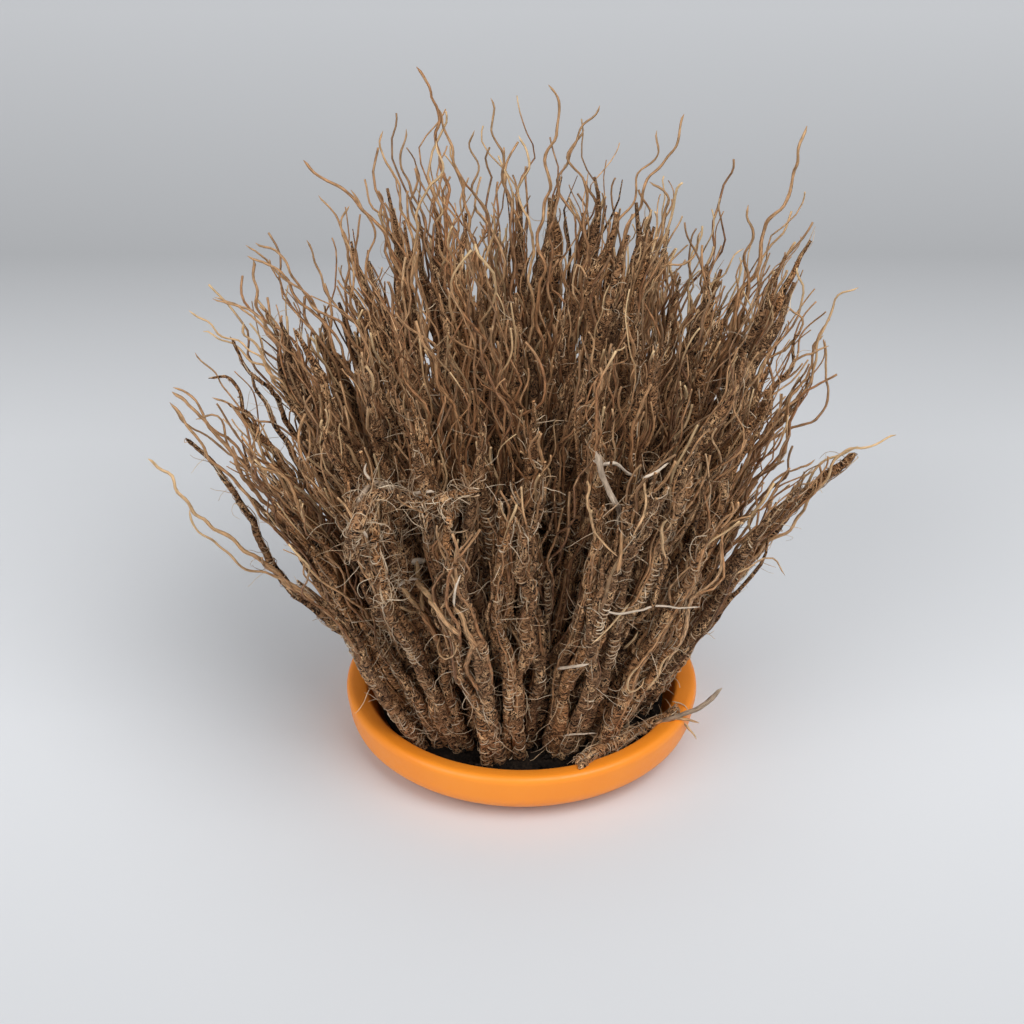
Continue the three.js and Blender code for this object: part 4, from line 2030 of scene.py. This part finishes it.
@dataclass
class Studio:
    """A pale floor, soft lamps and the camera.

    Fields:
        eye: Where the camera stands, mm.
        down: How far it looks down, degrees.
        lens: Its focal length on a sensor 36 mm wide, mm.
        front: The y where the floor's ramp of greys starts, mm.
        depth: How deep the ramp is, mm.
        greys: The ramp, from front to back: painted light and shade of a studio backdrop, with a darker
            band some way behind the object.
        tint: What the greys are multiplied by.
        reach: How far the floor goes each way, mm.
        lamps: The lamps.
        sky: The colour of the light from all round.
        sky_strength: How strong that light is.
    """

    eye: tuple[float, float, float] = (-4.1, -778.8, 559.3)
    down: float = 30.30
    lens: float = 77.3
    front: float = -500.0
    depth: float = 1500.0
    # Painted light and shade: greys that stand in for how light falls on a curved studio backdrop.
    greys: tuple[Colour, ...] = (
        (0.550, 0.550, 0.550),
        (0.590, 0.590, 0.590),
        (0.720, 0.720, 0.720),
        (0.665, 0.665, 0.665),
        (0.435, 0.435, 0.435),
        (0.560, 0.560, 0.560),
        (0.680, 0.680, 0.680),
    )
    tint: tuple[float, float, float, float] = (0.965, 0.985, 1.02, 1)
    reach: float = 6000.0
    lamps: tuple[Lamp, ...] = (
        Lamp("top", (300, 300, 3200), 2800, 24.0),
        Lamp("key", (1500, -1800, 2700), 2500, 92.0),
        Lamp("fill", (-1900, -1900, 1700), 2200, 48.0),
    )
    sky: tuple[float, float, float, float] = (0.96, 0.98, 1.0, 1)
    sky_strength: float = 0.26

    def build(self) -> None:
        """Makes the floor, the lamps, the light from all round and the camera."""
        self.lay_floor()
        for lamp in self.lamps:
            lamp.hang()
        world = bpy.data.worlds.new("studio")
        bpy.context.scene.world = world
        world.use_nodes = True
        background = world.node_tree.nodes["Background"]
        background.inputs[0].default_value = self.sky
        background.inputs[1].default_value = self.sky_strength
        self.set_camera()

    def set_camera(self) -> None:
        """Makes the camera."""
        camera = bpy.data.cameras.new("camera")
        camera.lens = self.lens
        camera.sensor_width = 36.0
        camera.clip_start, camera.clip_end = 0.05, 30.0
        eye = bpy.data.objects.new("camera", camera)
        eye.location = Vector(self.eye) * MM
        eye.rotation_euler = (math.radians(90 - self.down), 0, 0)
        bpy.context.scene.collection.objects.link(eye)
        bpy.context.scene.camera = eye
        bpy.context.scene.view_settings.view_transform = "Standard"

    def lay_floor(self) -> None:
        """A wide pale floor with a painted ramp of light and shade, greyer some way behind the object."""
        r = self.reach
        points = np.array([[-r, -r, 0], [r, -r, 0], [r, r, 0], [-r, r, 0]], float)
        mesh = mesh_of("floor", points, np.arange(4), np.array([4]))
        made, g, shader = new_material("floor", Roughness=0.85, Specular_IOR_Level=0.2)
        place = g.node("TexCoord").outputs["Object"]
        back = g.node("SeparateXYZ", {0: place}).outputs["Y"]
        share = g.math("DIVIDE", g.math("SUBTRACT", back, self.front * MM), self.depth * MM)
        # The floor's ramp of painted light and shade runs from front to back.
        colour = g.mix(1.0, g.ramp(share, self.greys), self.tint, "MULTIPLY")
        g.tree.links.new(colour, shader.inputs["Base Color"])
        placed("floor", mesh, [made])


def main() -> None:
    """Builds every piece in order, and reports each."""
    logging.basicConfig(level=logging.INFO, format="%(message)s")
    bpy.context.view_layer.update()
    studio = Studio()
    studio.build()
    dish = Dish().build(PlasticFinish())
    soil = Soil().build(SoilFinish(), np.random.default_rng(SEED))
    finishes = [MattedFinish().material()]
    finishes += [finish.material() for finish in (BARE_ROOT, ROOT_HAIR, DEAD_TWIG)]
    locks = sorted(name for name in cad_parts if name.startswith("root_lock_"))
    strays = {"root_lock_52": LEFT_STRAYS, "root_lock_56": RIGHT_STRAYS}
    pieces = []
    for number, name in enumerate(locks, 1):
        if name in strays:
            lock = PlacedPiece(f"matted_lock_{number:02d}", "root_fibre", (name,), SEED + number)
            pieces.append(lock.stand(strays[name], finishes))
        else:
            pieces.append(RootLock(number).build(finishes))
    PlacedPiece("crown_wisps", "root_fibre", (), SEED + 101).stand(CROWN_WISPS, finishes)
    bpy.context.view_layer.update()
    surface = Surface(pieces, studio.eye)
    PlacedPiece("laid_roots", "root_fibre", (), SEED + 102).lie(LAID_ROOTS, surface, finishes)
    surface = Surface([dish, soil, *pieces], studio.eye)
    loose = PlacedPiece("loose_root", "pale_root", ("loose_root_piece",), SEED + 103)
    loose.lie(LOOSE_ROOTS, surface, finishes)


if __name__ == "__main__":
    main()
